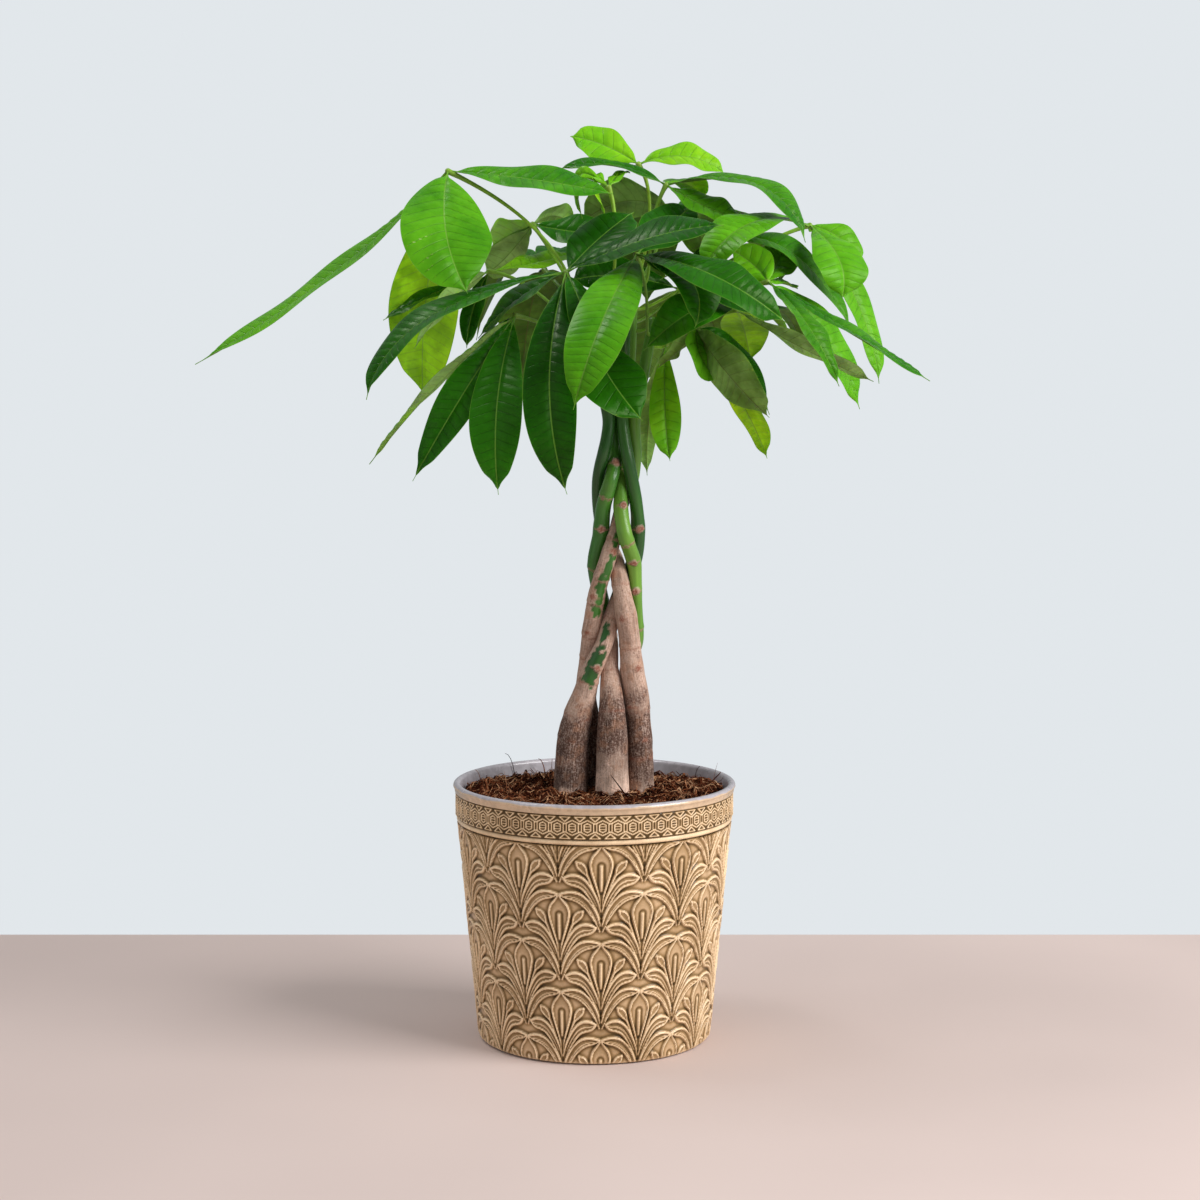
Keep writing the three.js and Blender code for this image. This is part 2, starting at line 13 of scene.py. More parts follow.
import bpy
import numpy as np
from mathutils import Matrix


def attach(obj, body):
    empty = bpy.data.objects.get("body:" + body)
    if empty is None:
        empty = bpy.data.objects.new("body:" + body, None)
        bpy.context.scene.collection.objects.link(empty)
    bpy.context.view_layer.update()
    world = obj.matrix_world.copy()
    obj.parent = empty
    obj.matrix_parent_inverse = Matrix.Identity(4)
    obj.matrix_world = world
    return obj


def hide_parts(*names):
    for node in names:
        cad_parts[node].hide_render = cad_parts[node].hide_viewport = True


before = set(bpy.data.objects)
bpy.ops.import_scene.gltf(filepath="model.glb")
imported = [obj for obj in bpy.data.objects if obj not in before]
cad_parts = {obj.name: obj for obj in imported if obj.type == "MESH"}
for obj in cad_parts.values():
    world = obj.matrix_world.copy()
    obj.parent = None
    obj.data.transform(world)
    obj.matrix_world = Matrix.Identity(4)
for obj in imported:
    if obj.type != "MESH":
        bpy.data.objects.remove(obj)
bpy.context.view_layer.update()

log = logging.getLogger("money_tree")
logging.basicConfig(level=logging.INFO, format="%(name)s: %(message)s")

MM = 0.001
TAU = 2 * math.pi
Array = np.ndarray
Colour = tuple[float, float, float]
Socket = bpy.types.NodeSocket
Stops = tuple[tuple[float, Colour], ...]
NOISE_SPAN = (0.3, 0.7)


class Slot(Enum):
    """Material slots."""

    GLAZE = "glaze"
    SOIL = "soil"
    BARK = "bark"
    LEAF = "leaf"


# Meshes


@dataclass
class Surface:
    """A surface as arrays: points, its quads and triangles, and named values at the points."""

    points: Array
    quads: Array
    triangles: Array
    layers: dict[str, Array] = field(default_factory=dict)

    @staticmethod
    def join(parts: list["Surface"]) -> "Surface":
        """Puts surfaces that have the same layers into one, without merging points.

        Args:
            parts: the surfaces.

        Returns:
            One surface that holds them all.
        """
        starts = np.cumsum([0] + [len(part.points) for part in parts[:-1]])
        return Surface(
            np.concatenate([part.points for part in parts]),
            np.concatenate([part.quads + start for part, start in zip(parts, starts)]),
            np.concatenate([part.triangles + start for part, start in zip(parts, starts)]),
            {name: np.concatenate([part.layers[name] for part in parts]) for name in parts[0].layers},
        )

    def to_object(self, name: str, sharp_angle: float = math.radians(50)) -> bpy.types.Object:
        """Writes the surface into a mesh object at the origin, smooth but for its sharp edges.

        Args:
            name: the object's name.
            sharp_angle: edges that turn by more than this stay sharp.

        Returns:
            The object, linked to the scene.
        """
        mesh = bpy.data.meshes.new(name)
        corners = np.concatenate([self.quads.ravel(), self.triangles.ravel()])
        sizes = np.repeat([4, 3], [len(self.quads), len(self.triangles)])
        mesh.vertices.add(len(self.points))
        mesh.vertices.foreach_set("co", self.points.astype(np.float32).ravel())
        mesh.loops.add(len(corners))
        mesh.loops.foreach_set("vertex_index", corners.astype(np.int32))
        mesh.polygons.add(len(sizes))
        mesh.polygons.foreach_set("loop_start", (np.cumsum(sizes) - sizes).astype(np.int32))
        mesh.update(calc_edges=True)
        for key, values in self.layers.items():
            kind, slot = ("FLOAT_VECTOR", "vector") if values.ndim == 2 else ("FLOAT", "value")
            mesh.attributes.new(key, kind, "POINT").data.foreach_set(slot, values.astype(np.float32).ravel())
        mesh.polygons.foreach_set("use_smooth", np.ones(len(sizes), bool))
        mesh.set_sharp_from_angle(angle=sharp_angle)
        made = bpy.data.objects.new(name, mesh)
        bpy.context.scene.collection.objects.link(made)
        return made


def ring_quads(rows: int, columns: int, start: int = 0) -> Array:
    """Quads of a grid whose columns close into rings, facing out where a ring turns to the left of
    the way from row to row.

    Args:
        rows: number of rings.
        columns: number of points in a ring.
        start: index of the first point.

    Returns:
        Point indices, shape (quads, 4).
    """
    i, j = np.meshgrid(np.arange(rows - 1), np.arange(columns), indexing="ij")
    k = (j + 1) % columns
    quads = np.stack([i * columns + j, i * columns + k, (i + 1) * columns + k, (i + 1) * columns + j], -1)
    return quads.reshape(-1, 4) + start


def closed_bodies(rings: Array, layers: dict[str, Array]) -> Surface:
    """Closed bodies through rings of points, with a fan to the middle of each end ring.

    Args:
        rings: points, shape (bodies, rows, columns, 3).
        layers: values at the points, shape (bodies, rows, columns) or (bodies, rows, columns, 3).

    Returns:
        One surface that holds them all.
    """
    bodies, rows, columns = rings.shape[:3]
    ends = rings[:, [0, -1]].mean(2)
    points = np.concatenate([rings.reshape(bodies, -1, 3), ends], 1)
    j = np.arange(columns)
    k = (j + 1) % columns
    last = (rows - 1) * columns
    first_cap = np.stack([k, j, np.full(columns, rows * columns)], -1)
    last_cap = np.stack([last + j, last + k, np.full(columns, rows * columns + 1)], -1)
    start = (np.arange(bodies) * points.shape[1])[:, None, None]
    quads = ring_quads(rows, columns) + start
    caps = np.concatenate([first_cap, last_cap]) + start
    flat = {}
    for name, values in layers.items():
        tail = values[:, [0, -1]].mean(2)
        values = np.concatenate([values.reshape((bodies, -1) + values.shape[3:]), tail], 1)
        flat[name] = values.reshape((-1,) + values.shape[2:])
    return Surface(points.reshape(-1, 3), quads.reshape(-1, 4), caps.reshape(-1, 3), flat)


def tube_rings(paths: Array, radii: Array, columns: int) -> Array:
    """Rings of round bars on paths. Each ring stands square to its path: its axes are the tangent
    crossed with the level line across the whole path, and that crossed with the tangent.

    Args:
        paths: points, shape (bars, rows, 3).
        radii: radius at each point, shape (bars, rows).
        columns: number of points in a ring.

    Returns:
        Points, shape (bars, rows, columns, 3).
    """
    tangent = unit(np.gradient(paths, axis=1))
    chord = paths[:, -1] - paths[:, 0] + (1e-7, 0, 0)
    side = unit(np.cross(chord, (0, 0, 1.0)))[:, None]
    across = unit(side - tangent * (tangent * side).sum(-1, keepdims=True))
    up = np.cross(tangent, across)
    angle = np.arange(columns) * TAU / columns
    turn = across[:, :, None] * np.cos(angle)[:, None] + up[:, :, None] * np.sin(angle)[:, None]
    return paths[:, :, None] + turn * radii[..., None, None]


def upright_rings(centre: Array, radius: Array) -> Array:
    """Rings of an upright bar with a radius of its own at each point, square to its line, the first
    point of each towards +X and counter-clockwise from above.

    Args:
        centre: the line's points, shape (rows, 3).
        radius: radius at each point, shape (rows, columns).

    Returns:
        Points, shape (rows, columns, 3).
    """
    tangent = unit(np.gradient(centre, axis=0))
    right = np.array([1.0, 0, 0])
    across = unit(right - tangent * (tangent @ right)[:, None])
    back = np.cross(tangent, across)
    angle = np.arange(radius.shape[1]) * TAU / radius.shape[1]
    turn = across[:, None] * np.cos(angle)[:, None] + back[:, None] * np.sin(angle)[:, None]
    return centre[:, None] + turn * radius[..., None]


def lathe_ring(profile_radius: Array, profile_z: Array, columns: int) -> Array:
    """Points of level rings round the Z axis, the first column at azimuth 0, counter-clockwise.

    Args:
        profile_radius: radius of each ring, or of each point, shape (rows,) or (rows, columns).
        profile_z: height, of the same shape.
        columns: number of points in a ring.

    Returns:
        Points, shape (rows, columns, 3).
    """
    azimuth = np.arange(columns) * TAU / columns
    shape = (len(profile_z), columns)
    radius, z = (np.broadcast_to(a.reshape(shape[0], -1), shape) for a in (profile_radius, profile_z))
    return np.stack([radius * np.sin(azimuth), -radius * np.cos(azimuth), z], -1)


def unit(vectors: Array) -> Array:
    """Vectors scaled to length one along the last axis."""
    return vectors / np.maximum(np.linalg.norm(vectors, axis=-1, keepdims=True), 1e-12)


def turned(vectors: Array, axes: Array, angle: Array) -> Array:
    """Vectors turned about axes by Rodrigues' formula: the part across the axis turns, and the part
    along it stays.

    Args:
        vectors: what is turned, shape (..., 3).
        axes: unit axes, of the same shape.
        angle: radians, one for each vector.

    Returns:
        The turned vectors.
    """
    cosine, sine = np.cos(angle)[..., None], np.sin(angle)[..., None]
    along = (vectors * axes).sum(-1, keepdims=True)
    return vectors * cosine + np.cross(axes, vectors) * sine + axes * along * (1 - cosine)


def smooth_step(low: float, high: float, x: Array) -> Array:
    """0 below low and 1 above high, with the cubic 3u^2 - 2u^3 between them."""
    u = np.clip((x - low) / (high - low), 0, 1)
    return u * u * (3 - 2 * u)


def spline(points: Array, steps: int) -> Array:
    """Uniform Catmull-Rom spline through points, the cubic that leaves each point along the line
    between its neighbours.

    Args:
        points: rows of any length, shape (n, m).
        steps: steps from one point to the next.

    Returns:
        The line, shape ((n - 1) * steps + 1, m).
    """
    every = np.concatenate([[2 * points[0] - points[1]], points, [2 * points[-1] - points[-2]]])
    a, b, c, d = every[:-3, None], every[1:-2, None], every[2:-1, None], every[3:, None]
    t = (np.arange(steps) / steps)[None, :, None]
    line = 0.5 * (2 * b + (c - a) * t + (2 * a - 5 * b + 4 * c - d) * t**2 + (3 * b - a - 3 * c + d) * t**3)
    return np.concatenate([line.reshape(-1, points.shape[1]), points[-1:]])


def waves(points: Array, size: float, seed: int, count: int = 7) -> Array:
    """Smooth noise from -1 to 1: the mean of plane sine waves in random directions.

    Args:
        points: places, shape (..., dimensions).
        size: length of a wave, in the unit of the places.
        seed: seed of the random directions and phases.
        count: number of waves.

    Returns:
        The noise at each place.
    """
    rng = np.random.default_rng(seed)
    directions = unit(rng.normal(size=(count, points.shape[-1]))) * rng.uniform(0.7, 1.4, (count, 1))
    phases = rng.uniform(0, TAU, count)
    return np.sin(points @ directions.T * (TAU / size) + phases).sum(-1) / math.sqrt(count * 1.6)


def line_distance(x: Array, y: Array, line: Array) -> Array:
    """Distance from each place to the nearest point of a line of straight pieces.

    Args:
        x: places, across.
        y: places, down.
        line: the line's points, shape (n, 2).

    Returns:
        Distances, of the shape of x.
    """
    place = np.stack([x, y], -1)[..., None, :]
    start, step = line[:-1], np.diff(line, axis=0)
    share = np.clip(((place - start) * step).sum(-1) / (step**2).sum(-1), 0, 1)
    return np.linalg.norm(place - start - share[..., None] * step, axis=-1).min(-1)


# Materials


class Nodes:
    """Short ways to lay out the nodes of one material with a Principled shader."""

    def __init__(self, name: str, **settings: float | Colour) -> None:
        """Makes the material and sets the shader's own sockets.

        Args:
            name: the material's name.
            settings: values by socket name, with underscores for spaces.
        """
        self.material = bpy.data.materials.new(name)
        self.material.use_nodes = True
        self.tree = self.material.node_tree
        self.shader = self.tree.nodes["Principled BSDF"]
        for key, value in settings.items():
            self.put(self.shader.inputs[key.replace("_", " ")], value)

    def put(self, socket: Socket, value: Socket | float | Colour) -> None:
        """Links a socket, or sets its own value.

        Args:
            socket: the socket that takes the value.
            value: another node's output, or a plain value.
        """
        if isinstance(value, bpy.types.NodeSocket):
            self.tree.links.new(value, socket)
        elif isinstance(value, tuple) and socket.type == "RGBA":
            socket.default_value = (*value, 1)
        else:
            socket.default_value = value

    def add(self, kind: str, *values: Socket | float | Colour | None, **settings: object) -> bpy.types.Node:
        """Adds a node.

        Args:
            kind: the node's type.
            values: what its first inputs take, in order; None leaves one as it is.
            settings: its options by name.

        Returns:
            The node.
        """
        node = self.tree.nodes.new(kind)
        for key, value in settings.items():
            setattr(node, key, value)
        for socket, value in zip(node.inputs, values):
            if value is not None:
                self.put(socket, value)
        return node

    def math(self, operation: str, *values: Socket | float) -> Socket:
        """A Math node's result."""
        return self.add("ShaderNodeMath", *values, operation=operation).outputs[0]

    def plus(self, *values: Socket | float) -> Socket:
        """The sum of two values."""
        return self.math("ADD", *values)

    def times(self, *values: Socket | float) -> Socket:
        """The product of two values."""
        return self.math("MULTIPLY", *values)

    def ramp(self, value: Socket, low: float, high: float, to_low: float = 0, to_high: float = 1) -> Socket:
        """A value carried smoothly from one span to another, and held outside it.

        Args:
            value: the value.
            low: start of its span.
            high: end of its span.
            to_low: what the start becomes.
            to_high: what the end becomes.

        Returns:
            The new value.
        """
        return self.add("ShaderNodeMapRange", value, low, high, to_low, to_high,
                        interpolation_type="SMOOTHSTEP").outputs[0]

    def vary(self, noise: Socket, to_low: float, to_high: float) -> Socket:
        """A noise's usual span carried smoothly to to_low..to_high."""
        return self.ramp(noise, *NOISE_SPAN, to_low, to_high)

    def mix(self, share: Socket | float, low: Socket | Colour, high: Socket | Colour) -> Socket:
        """A colour between two others.

        Args:
            share: the share of the way from low to high.
            low: the colour at share 0.
            high: the colour at share 1.

        Returns:
            The colour.
        """
        node = self.add("ShaderNodeMix", data_type="RGBA")
        self.put(node.inputs["Factor"], share)
        self.put(node.inputs[6], low)
        self.put(node.inputs[7], high)
        return node.outputs[2]

    def shades(self, value: Socket, stops: Stops) -> Socket:
        """A colour ramp.

        Args:
            value: the place on the ramp.
            stops: its positions and their colours.

        Returns:
            The colour at the value.
        """
        node = self.add("ShaderNodeValToRGB", value)
        elements = node.color_ramp.elements
        while len(elements) < len(stops):
            elements.new(0.5)
        for element, (position, colour) in zip(elements, stops):
            element.position, element.color = position, (*colour, 1)
        return node.outputs[0]

    def attribute(self, name: str) -> tuple[Socket, Socket, Socket]:
        """The three numbers of a vector attribute."""
        return tuple(self.add("ShaderNodeSeparateXYZ", self.place(name)).outputs)

    def place(self, name: str = "") -> Socket:
        """Where a pattern is read.

        Args:
            name: a vector attribute that holds the place; Object coordinates if none is given.

        Returns:
            The place.
        """
        if name:
            return self.add("ShaderNodeAttribute", attribute_name=name).outputs["Vector"]
        return self.add("ShaderNodeTexCoord").outputs["Object"]

    def noise(self, place: Socket, scale: float, detail: float = 3, roughness: float = 0.55) -> Socket:
        """Noise, mostly from 0.25 to 0.75.

        Args:
            place: where it is read.
            scale: its waves per metre.
            detail: how many finer octaves it has.
            roughness: strength of each octave against the one before.

        Returns:
            The noise.
        """
        node = self.add("ShaderNodeTexNoise", place)
        for name, number in (("Scale", scale), ("Detail", detail), ("Roughness", roughness)):
            node.inputs[name].default_value = number
        return node.outputs["Fac"]

    def scaled(self, colour: Socket, brightness: Socket | float) -> Socket:
        """A colour times a brightness."""
        node = self.add("ShaderNodeVectorMath", colour, operation="SCALE")
        self.put(node.inputs["Scale"], brightness)
        return node.outputs[0]

    def finish(self, colour: Socket, roughness: Socket | None = None, height: Socket | None = None,
               distance: float = 0.0003, strength: float = 0.5) -> bpy.types.Material:
        """Links the colour, the roughness and a bump of a height to the shader.

        Args:
            colour: the base colour.
            roughness: the roughness, where it isn't the same all over.
            height: a height from 0 to 1 for the bump.
            distance: what a height of 1 stands for, in metres.
            strength: the bump's strength.

        Returns:
            The material.
        """
        self.put(self.shader.inputs["Base Color"], colour)
        if roughness is not None:
            self.put(self.shader.inputs["Roughness"], roughness)
        if height is not None:
            bump = self.add("ShaderNodeBump")
            bump.inputs["Strength"].default_value = strength
            bump.inputs["Distance"].default_value = distance
            self.put(bump.inputs["Height"], height)
            self.put(self.shader.inputs["Normal"], bump.outputs["Normal"])
        return self.material


@dataclass(frozen=True)
class LeafFinish:
    """Waxy leaf: its green goes from the dark of an old blade to the yellow-green of a young one, with
    a pale rib, fine side veins, a light edge and a duller underside. The underside's paler and
    yellower greens are partly a young blade's colour and partly painted light shining through it.

    The attribute blade holds the distance from the rib and from the edge, in millimetres, and the
    count of side veins; the attribute tint holds the tone, the face (0 above, 1 below) and a shade.
    Scales are in waves per metre, and vein_half is a share of the veins' spacing.
    """

    above: Stops = (
        (0.0, (0.006, 0.058, 0.001)),
        (0.3, (0.022, 0.155, 0.003)),
        (0.6, (0.118, 0.400, 0.009)),
        (0.7, (0.165, 0.440, 0.009)),
        (1.0, (0.330, 0.610, 0.010)),
    )
    # Underside greens: the upper stops are partly a young blade's colour and partly painted light shining
    # through the blade.
    below: Stops = (
        (0.0, (0.035, 0.085, 0.012)),
        (0.3, (0.115, 0.235, 0.028)),
        (0.55, (0.300, 0.510, 0.140)),
        (0.65, (0.220, 0.500, 0.012)),
        (1.0, (0.440, 0.780, 0.012)),
    )
    rib: Colour = (0.150, 0.330, 0.040)
    rib_below: Stops = (
        (0.0, (0.110, 0.095, 0.035)),
        (0.35, (0.120, 0.150, 0.035)),
        (0.6, (0.150, 0.290, 0.045)),
        (1.0, (0.230, 0.420, 0.040)),
    )
    rib_half_mm: float = 0.38
    rib_share: float = 0.8
    rib_share_below: float = 0.75
    vein_half: float = 0.09
    vein_clear_mm: tuple[float, float] = (0.5, 3.5)
    vein_shadow: float = 0.74
    vein_share_below: float = 0.45
    margin_mm: tuple[float, float] = (0.15, 0.45)
    margin_share: float = 0.5
    mottle_scale: float = 55
    mottle_tone: float = 0.05
    fine_scale: float = 190
    shade_gain: float = 0.16
    rough_above: float = 0.3
    rough_below: float = 0.5
    groove_m: float = 0.0004

    def build(self) -> bpy.types.Material:
        """Makes the leaf's material.

        Returns:
            The material.
        """
        nodes = Nodes("leaf_green", Roughness=self.rough_above, Subsurface_Weight=0.25,
                      Subsurface_Scale=0.0012, Subsurface_Radius=(0.6, 1.0, 0.1), Specular_IOR_Level=0.15,
                      Specular_Tint=(0.85, 1.0, 0.55))
        reach, edge, count = nodes.attribute("blade")
        tone, face, shade = nodes.attribute("tint")
        mottle = nodes.noise(nodes.place(), self.mottle_scale, 4)
        tone = nodes.plus(tone, nodes.vary(mottle, -self.mottle_tone, self.mottle_tone))
        wave = nodes.math("PINGPONG", count, 0.5)
        vein = nodes.times(nodes.ramp(wave, 0.0, self.vein_half, 1, 0), nodes.ramp(edge, *self.vein_clear_mm))
        rib = nodes.ramp(nodes.math("ABSOLUTE", reach), self.rib_half_mm * 0.6, self.rib_half_mm * 1.5, 1, 0)
        above = nodes.scaled(nodes.shades(tone, self.above), nodes.ramp(vein, 0, 1, 1, self.vein_shadow))
        above = nodes.mix(nodes.times(rib, self.rib_share), above, self.rib)
        line = nodes.math("MAXIMUM", nodes.times(vein, self.vein_share_below),
                          nodes.times(rib, self.rib_share_below))
        # The underside's greens carry painted light shining through the blade.
        below = nodes.mix(line, nodes.shades(tone, self.below), nodes.shades(tone, self.rib_below))
        below = nodes.scaled(below, nodes.ramp(mottle, 0.35, 0.65, 0.8, 1.18))
        margin = nodes.ramp(edge, *self.margin_mm, 1, 0)
        colour = nodes.mix(nodes.times(margin, self.margin_share), nodes.mix(face, above, below), self.rib)
        fine = nodes.noise(nodes.place(), self.fine_scale, 2)
        bright = nodes.plus(nodes.vary(fine, 0.94, 1.06), nodes.times(shade, self.shade_gain))
        roughness = nodes.plus(nodes.ramp(face, 0, 1, self.rough_above, self.rough_below),
                               nodes.vary(mottle, -0.04, 0.06))
        dip = nodes.times(nodes.math("MAXIMUM", vein, rib), -1.0)
        return nodes.finish(nodes.scaled(colour, bright), roughness, dip, self.groove_m, 0.4)


@dataclass(frozen=True)
class StalkFinish:
    """Leaf stalk and hub: smooth, yellowish to olive green, a little browner at its two ends. The
    attribute tint holds the tone, the share of the way to an end, and a shade."""

    green: Stops = (
        (0.0, (0.060, 0.160, 0.014)),
        (0.5, (0.200, 0.430, 0.022)),
        (1.0, (0.420, 0.640, 0.030)),
    )
    ends: Colour = (0.170, 0.260, 0.040)
    ends_share: float = 0.5
    shade_gain: float = 0.1
    grain_scale: float = 260
    grain_m: float = 0.0002

    def build(self) -> bpy.types.Material:
        """Makes the stalk's material.

        Returns:
            The material.
        """
        nodes = Nodes("stalk_green", Roughness=0.4, Specular_IOR_Level=0.4)
        tone, end, shade = nodes.attribute("tint")
        grain = nodes.noise(nodes.place(), self.grain_scale, 3)
        colour = nodes.mix(nodes.times(end, self.ends_share), nodes.shades(tone, self.green), self.ends)
        bright = nodes.plus(nodes.vary(grain, 0.86, 1.12), nodes.times(shade, self.shade_gain))
        return nodes.finish(nodes.scaled(colour, bright), None, grain, self.grain_m, 0.4)


@dataclass(frozen=True)
class BarkFinish:
    """Stem skin: grey-brown fibrous bark low down, pinkish tan above it, and smooth green skin at the
    top, with brown scars.

    The attribute skin holds the green share, the scar share and the green's tone; wear holds the
    shares of old bark and of the lighter foot; grain holds a place round and along the stem, the
    latter drawn together. Scales are in waves per metre.
    """

    old: Colour = (0.112, 0.054, 0.036)
    tan: Colour = (0.520, 0.342, 0.256)
    foot: Colour = (0.840, 0.580, 0.450)
    pale: Colour = (0.660, 0.510, 0.425)
    rust: Colour = (0.400, 0.195, 0.110)
    crack: Colour = (0.050, 0.024, 0.017)
    scar: Colour = (0.280, 0.100, 0.060)
    greens: Stops = (
        (0.0, (0.020, 0.085, 0.014)),
        (0.5, (0.052, 0.190, 0.022)),
        (1.0, (0.200, 0.390, 0.045)),
    )
    fleck_scale: float = 900
    fibre_scale: float = 1500
    fibre_share: float = 0.42
    streak_scale: float = 420
    patch_scale: float = 75
    rust_scale: float = 130
    bark_rough: float = 0.86
    green_rough: float = 0.27
    relief_m: float = 0.0009

    def bark(self, nodes: Nodes, fibre: Socket, streak: Socket) -> Socket:
        """The bark's colour: tan or old with pale fibres, rust and cracks.

        Args:
            nodes: the material's nodes.
            fibre: the fine fibres.
            streak: the broader streaks.

        Returns:
            The colour.
        """
        old, foot, _ = nodes.attribute("wear")
        patch = nodes.noise(nodes.place(), self.patch_scale, 5, 0.65)
        aged = nodes.plus(nodes.plus(old, nodes.vary(patch, -0.4, 0.4)), nodes.vary(streak, -0.2, 0.2))
        aged = nodes.ramp(aged, 0.05, 0.8)
        warm = nodes.plus(foot, nodes.vary(patch, -0.3, 0.3))
        bark = nodes.mix(nodes.ramp(warm, 0.1, 0.85), nodes.mix(aged, self.tan, self.old), self.foot)
        bark = nodes.mix(nodes.ramp(fibre, 0.48, 0.6, 0, 0.44), bark, self.pale)
        warmth = nodes.noise(nodes.place(), self.rust_scale, 3)
        bark = nodes.mix(nodes.ramp(warmth, 0.5, 0.66, 0, 0.45), bark, self.rust)
        deep = nodes.times(nodes.ramp(fibre, 0.38, 0.5, 0.8, 0), nodes.ramp(aged, 0, 1, 0.4, 0.9))
        bark = nodes.scaled(nodes.mix(deep, bark, self.crack), nodes.vary(streak, 0.78, 1.22))
        return nodes.scaled(bark, nodes.ramp(patch, 0.35, 0.65, 0.84, 1.16))

    def build(self) -> bpy.types.Material:
        """Makes the bark's material.

        Returns:
            The material.
        """
        nodes = Nodes("stem_bark", Roughness=0.7, Specular_IOR_Level=0.4)
        green, scar, tone = nodes.attribute("skin")
        grain = nodes.place("grain")
        fleck = nodes.noise(nodes.place(), self.fleck_scale, 4, 0.65)
        fibre = nodes.plus(nodes.times(nodes.noise(grain, self.fibre_scale, 4, 0.6), self.fibre_share),
                           nodes.times(fleck, 1 - self.fibre_share))
        streak = nodes.noise(grain, self.streak_scale, 3, 0.6)
        leafy = nodes.scaled(nodes.shades(tone, self.greens), nodes.vary(streak, 0.86, 1.15))
        colour = nodes.mix(green, self.bark(nodes, fibre, streak), leafy)
        scab = nodes.mix(nodes.ramp(fleck, 0.45, 0.62, 0, 0.5), self.scar, self.tan)
        roughness = nodes.ramp(green, 0, 1, self.bark_rough, self.green_rough)
        relief = nodes.times(nodes.plus(fibre, streak), nodes.ramp(green, 0, 1, 1, 0.12))
        return nodes.finish(nodes.mix(scar, colour, scab), roughness, relief, self.relief_m, 0.7)


@dataclass(frozen=True)
class GlazeFinish:
    """Ceramic glaze, glossy: thin and light tan on what stands proud, pooled to dark olive brown
    beside it. The attribute pool holds how deep the glaze lies. Scales are in waves per metre."""

    depths: Stops = (
        (0.0, (0.960, 0.720, 0.460)),
        (0.16, (0.690, 0.470, 0.270)),
        (0.4, (0.400, 0.248, 0.112)),
        (0.7, (0.150, 0.086, 0.026)),
        (1.0, (0.045, 0.025, 0.007)),
    )
    cloud_scale: float = 38
    cloud_depth: float = 0.07
    speck_scale: float = 700
    ripple_m: float = 0.0003

    def build(self) -> bpy.types.Material:
        """Makes the glaze of the relief.

        Returns:
            The material.
        """
        nodes = Nodes("glaze_tan", Roughness=0.3, Specular_IOR_Level=0.22, Coat_Weight=0.06,
                      Coat_Roughness=0.1)
        pool = nodes.add("ShaderNodeAttribute", attribute_name="pool").outputs["Fac"]
        cloud = nodes.noise(nodes.place(), self.cloud_scale, 4)
        speck = nodes.noise(nodes.place(), self.speck_scale, 2)
        deep = nodes.plus(pool, nodes.vary(cloud, -self.cloud_depth, self.cloud_depth))
        colour = nodes.scaled(nodes.shades(deep, self.depths), nodes.vary(speck, 0.94, 1.06))
        return nodes.finish(colour, nodes.vary(cloud, 0.26, 0.36), cloud, self.ripple_m, 0.15)


@dataclass(frozen=True)
class RimFinish:
    """The rim's two glazes: tan below, and a grey lilac that covers the lip and the inside and ends
    in an uneven line a little below the top; unglazed tan clay on the foot. The attribute look is 1
    inside, and 1 in the grooves. Heights are in metres, scales in waves per metre."""

    tan: Colour = (0.700, 0.500, 0.320)
    lilac: Colour = (0.470, 0.430, 0.460)
    clay: Colour = (0.540, 0.400, 0.280)
    pooled: Colour = (0.050, 0.031, 0.015)
    line_z: float = 0.1635
    line_wander: float = 0.0005
    line_soft: tuple[float, float] = (-0.0003, 0.0005)
    foot_z: float = 0.0008
    cloud_scale: float = 60
    fine_scale: float = 240
    ripple_m: float = 0.0003

    def build(self) -> bpy.types.Material:
        """Makes the glaze of the rim and the inside.

        Returns:
            The material.
        """
        nodes = Nodes("glaze_rim", Roughness=0.22, Specular_IOR_Level=0.6, Coat_Weight=0.3,
                      Coat_Roughness=0.06)
        z = nodes.add("ShaderNodeSeparateXYZ", nodes.place()).outputs["Z"]
        cloud = nodes.noise(nodes.place(), self.cloud_scale, 4)
        fine = nodes.noise(nodes.place(), self.fine_scale, 3)
        inside, sunk, _ = nodes.attribute("look")
        line = nodes.plus(z, nodes.vary(cloud, -self.line_wander, self.line_wander))
        above = nodes.ramp(line, *(self.line_z + soft for soft in self.line_soft))
        colour = nodes.mix(nodes.math("MAXIMUM", above, inside), self.tan, self.lilac)
        colour = nodes.mix(sunk, nodes.scaled(colour, nodes.vary(fine, 0.9, 1.1)), self.pooled)
        colour = nodes.mix(nodes.ramp(z, self.foot_z / 2, self.foot_z, 1, 0), colour, self.clay)
        return nodes.finish(colour, nodes.vary(cloud, 0.18, 0.3), cloud, self.ripple_m, 0.15)


@dataclass(frozen=True)
class CoirFinish:
    """Coir: dull fibres in browns from near black to straw. The attribute shade picks the brown.
    Scales are in waves per metre."""

    browns: Stops = (
        (0.0, (0.004, 0.001, 0.001)),
        (0.35, (0.048, 0.009, 0.003)),
        (0.7, (0.240, 0.074, 0.028)),
        (1.0, (0.640, 0.370, 0.205)),
    )
    grain_scale: float = 500
    grain_shade: float = 0.14
    clump_scale: float = 90
    clump_shade: float = 0.08
    relief_m: float = 0.0012

    def build(self) -> bpy.types.Material:
        """Makes the soil's material.

        Returns:
            The material.
        """
        nodes = Nodes("coir_brown", Roughness=0.9, Specular_IOR_Level=0.06)
        shade = nodes.add("ShaderNodeAttribute", attribute_name="shade").outputs["Fac"]
        grain = nodes.noise(nodes.place(), self.grain_scale, 4, 0.65)
        clump = nodes.noise(nodes.place(), self.clump_scale, 3)
        tone = nodes.plus(shade, nodes.vary(grain, -self.grain_shade, self.grain_shade))
        tone = nodes.plus(tone, nodes.ramp(clump, 0.35, 0.65, -self.clump_shade, self.clump_shade))
        return nodes.finish(nodes.shades(tone, self.browns), None, grain, self.relief_m, 0.8)


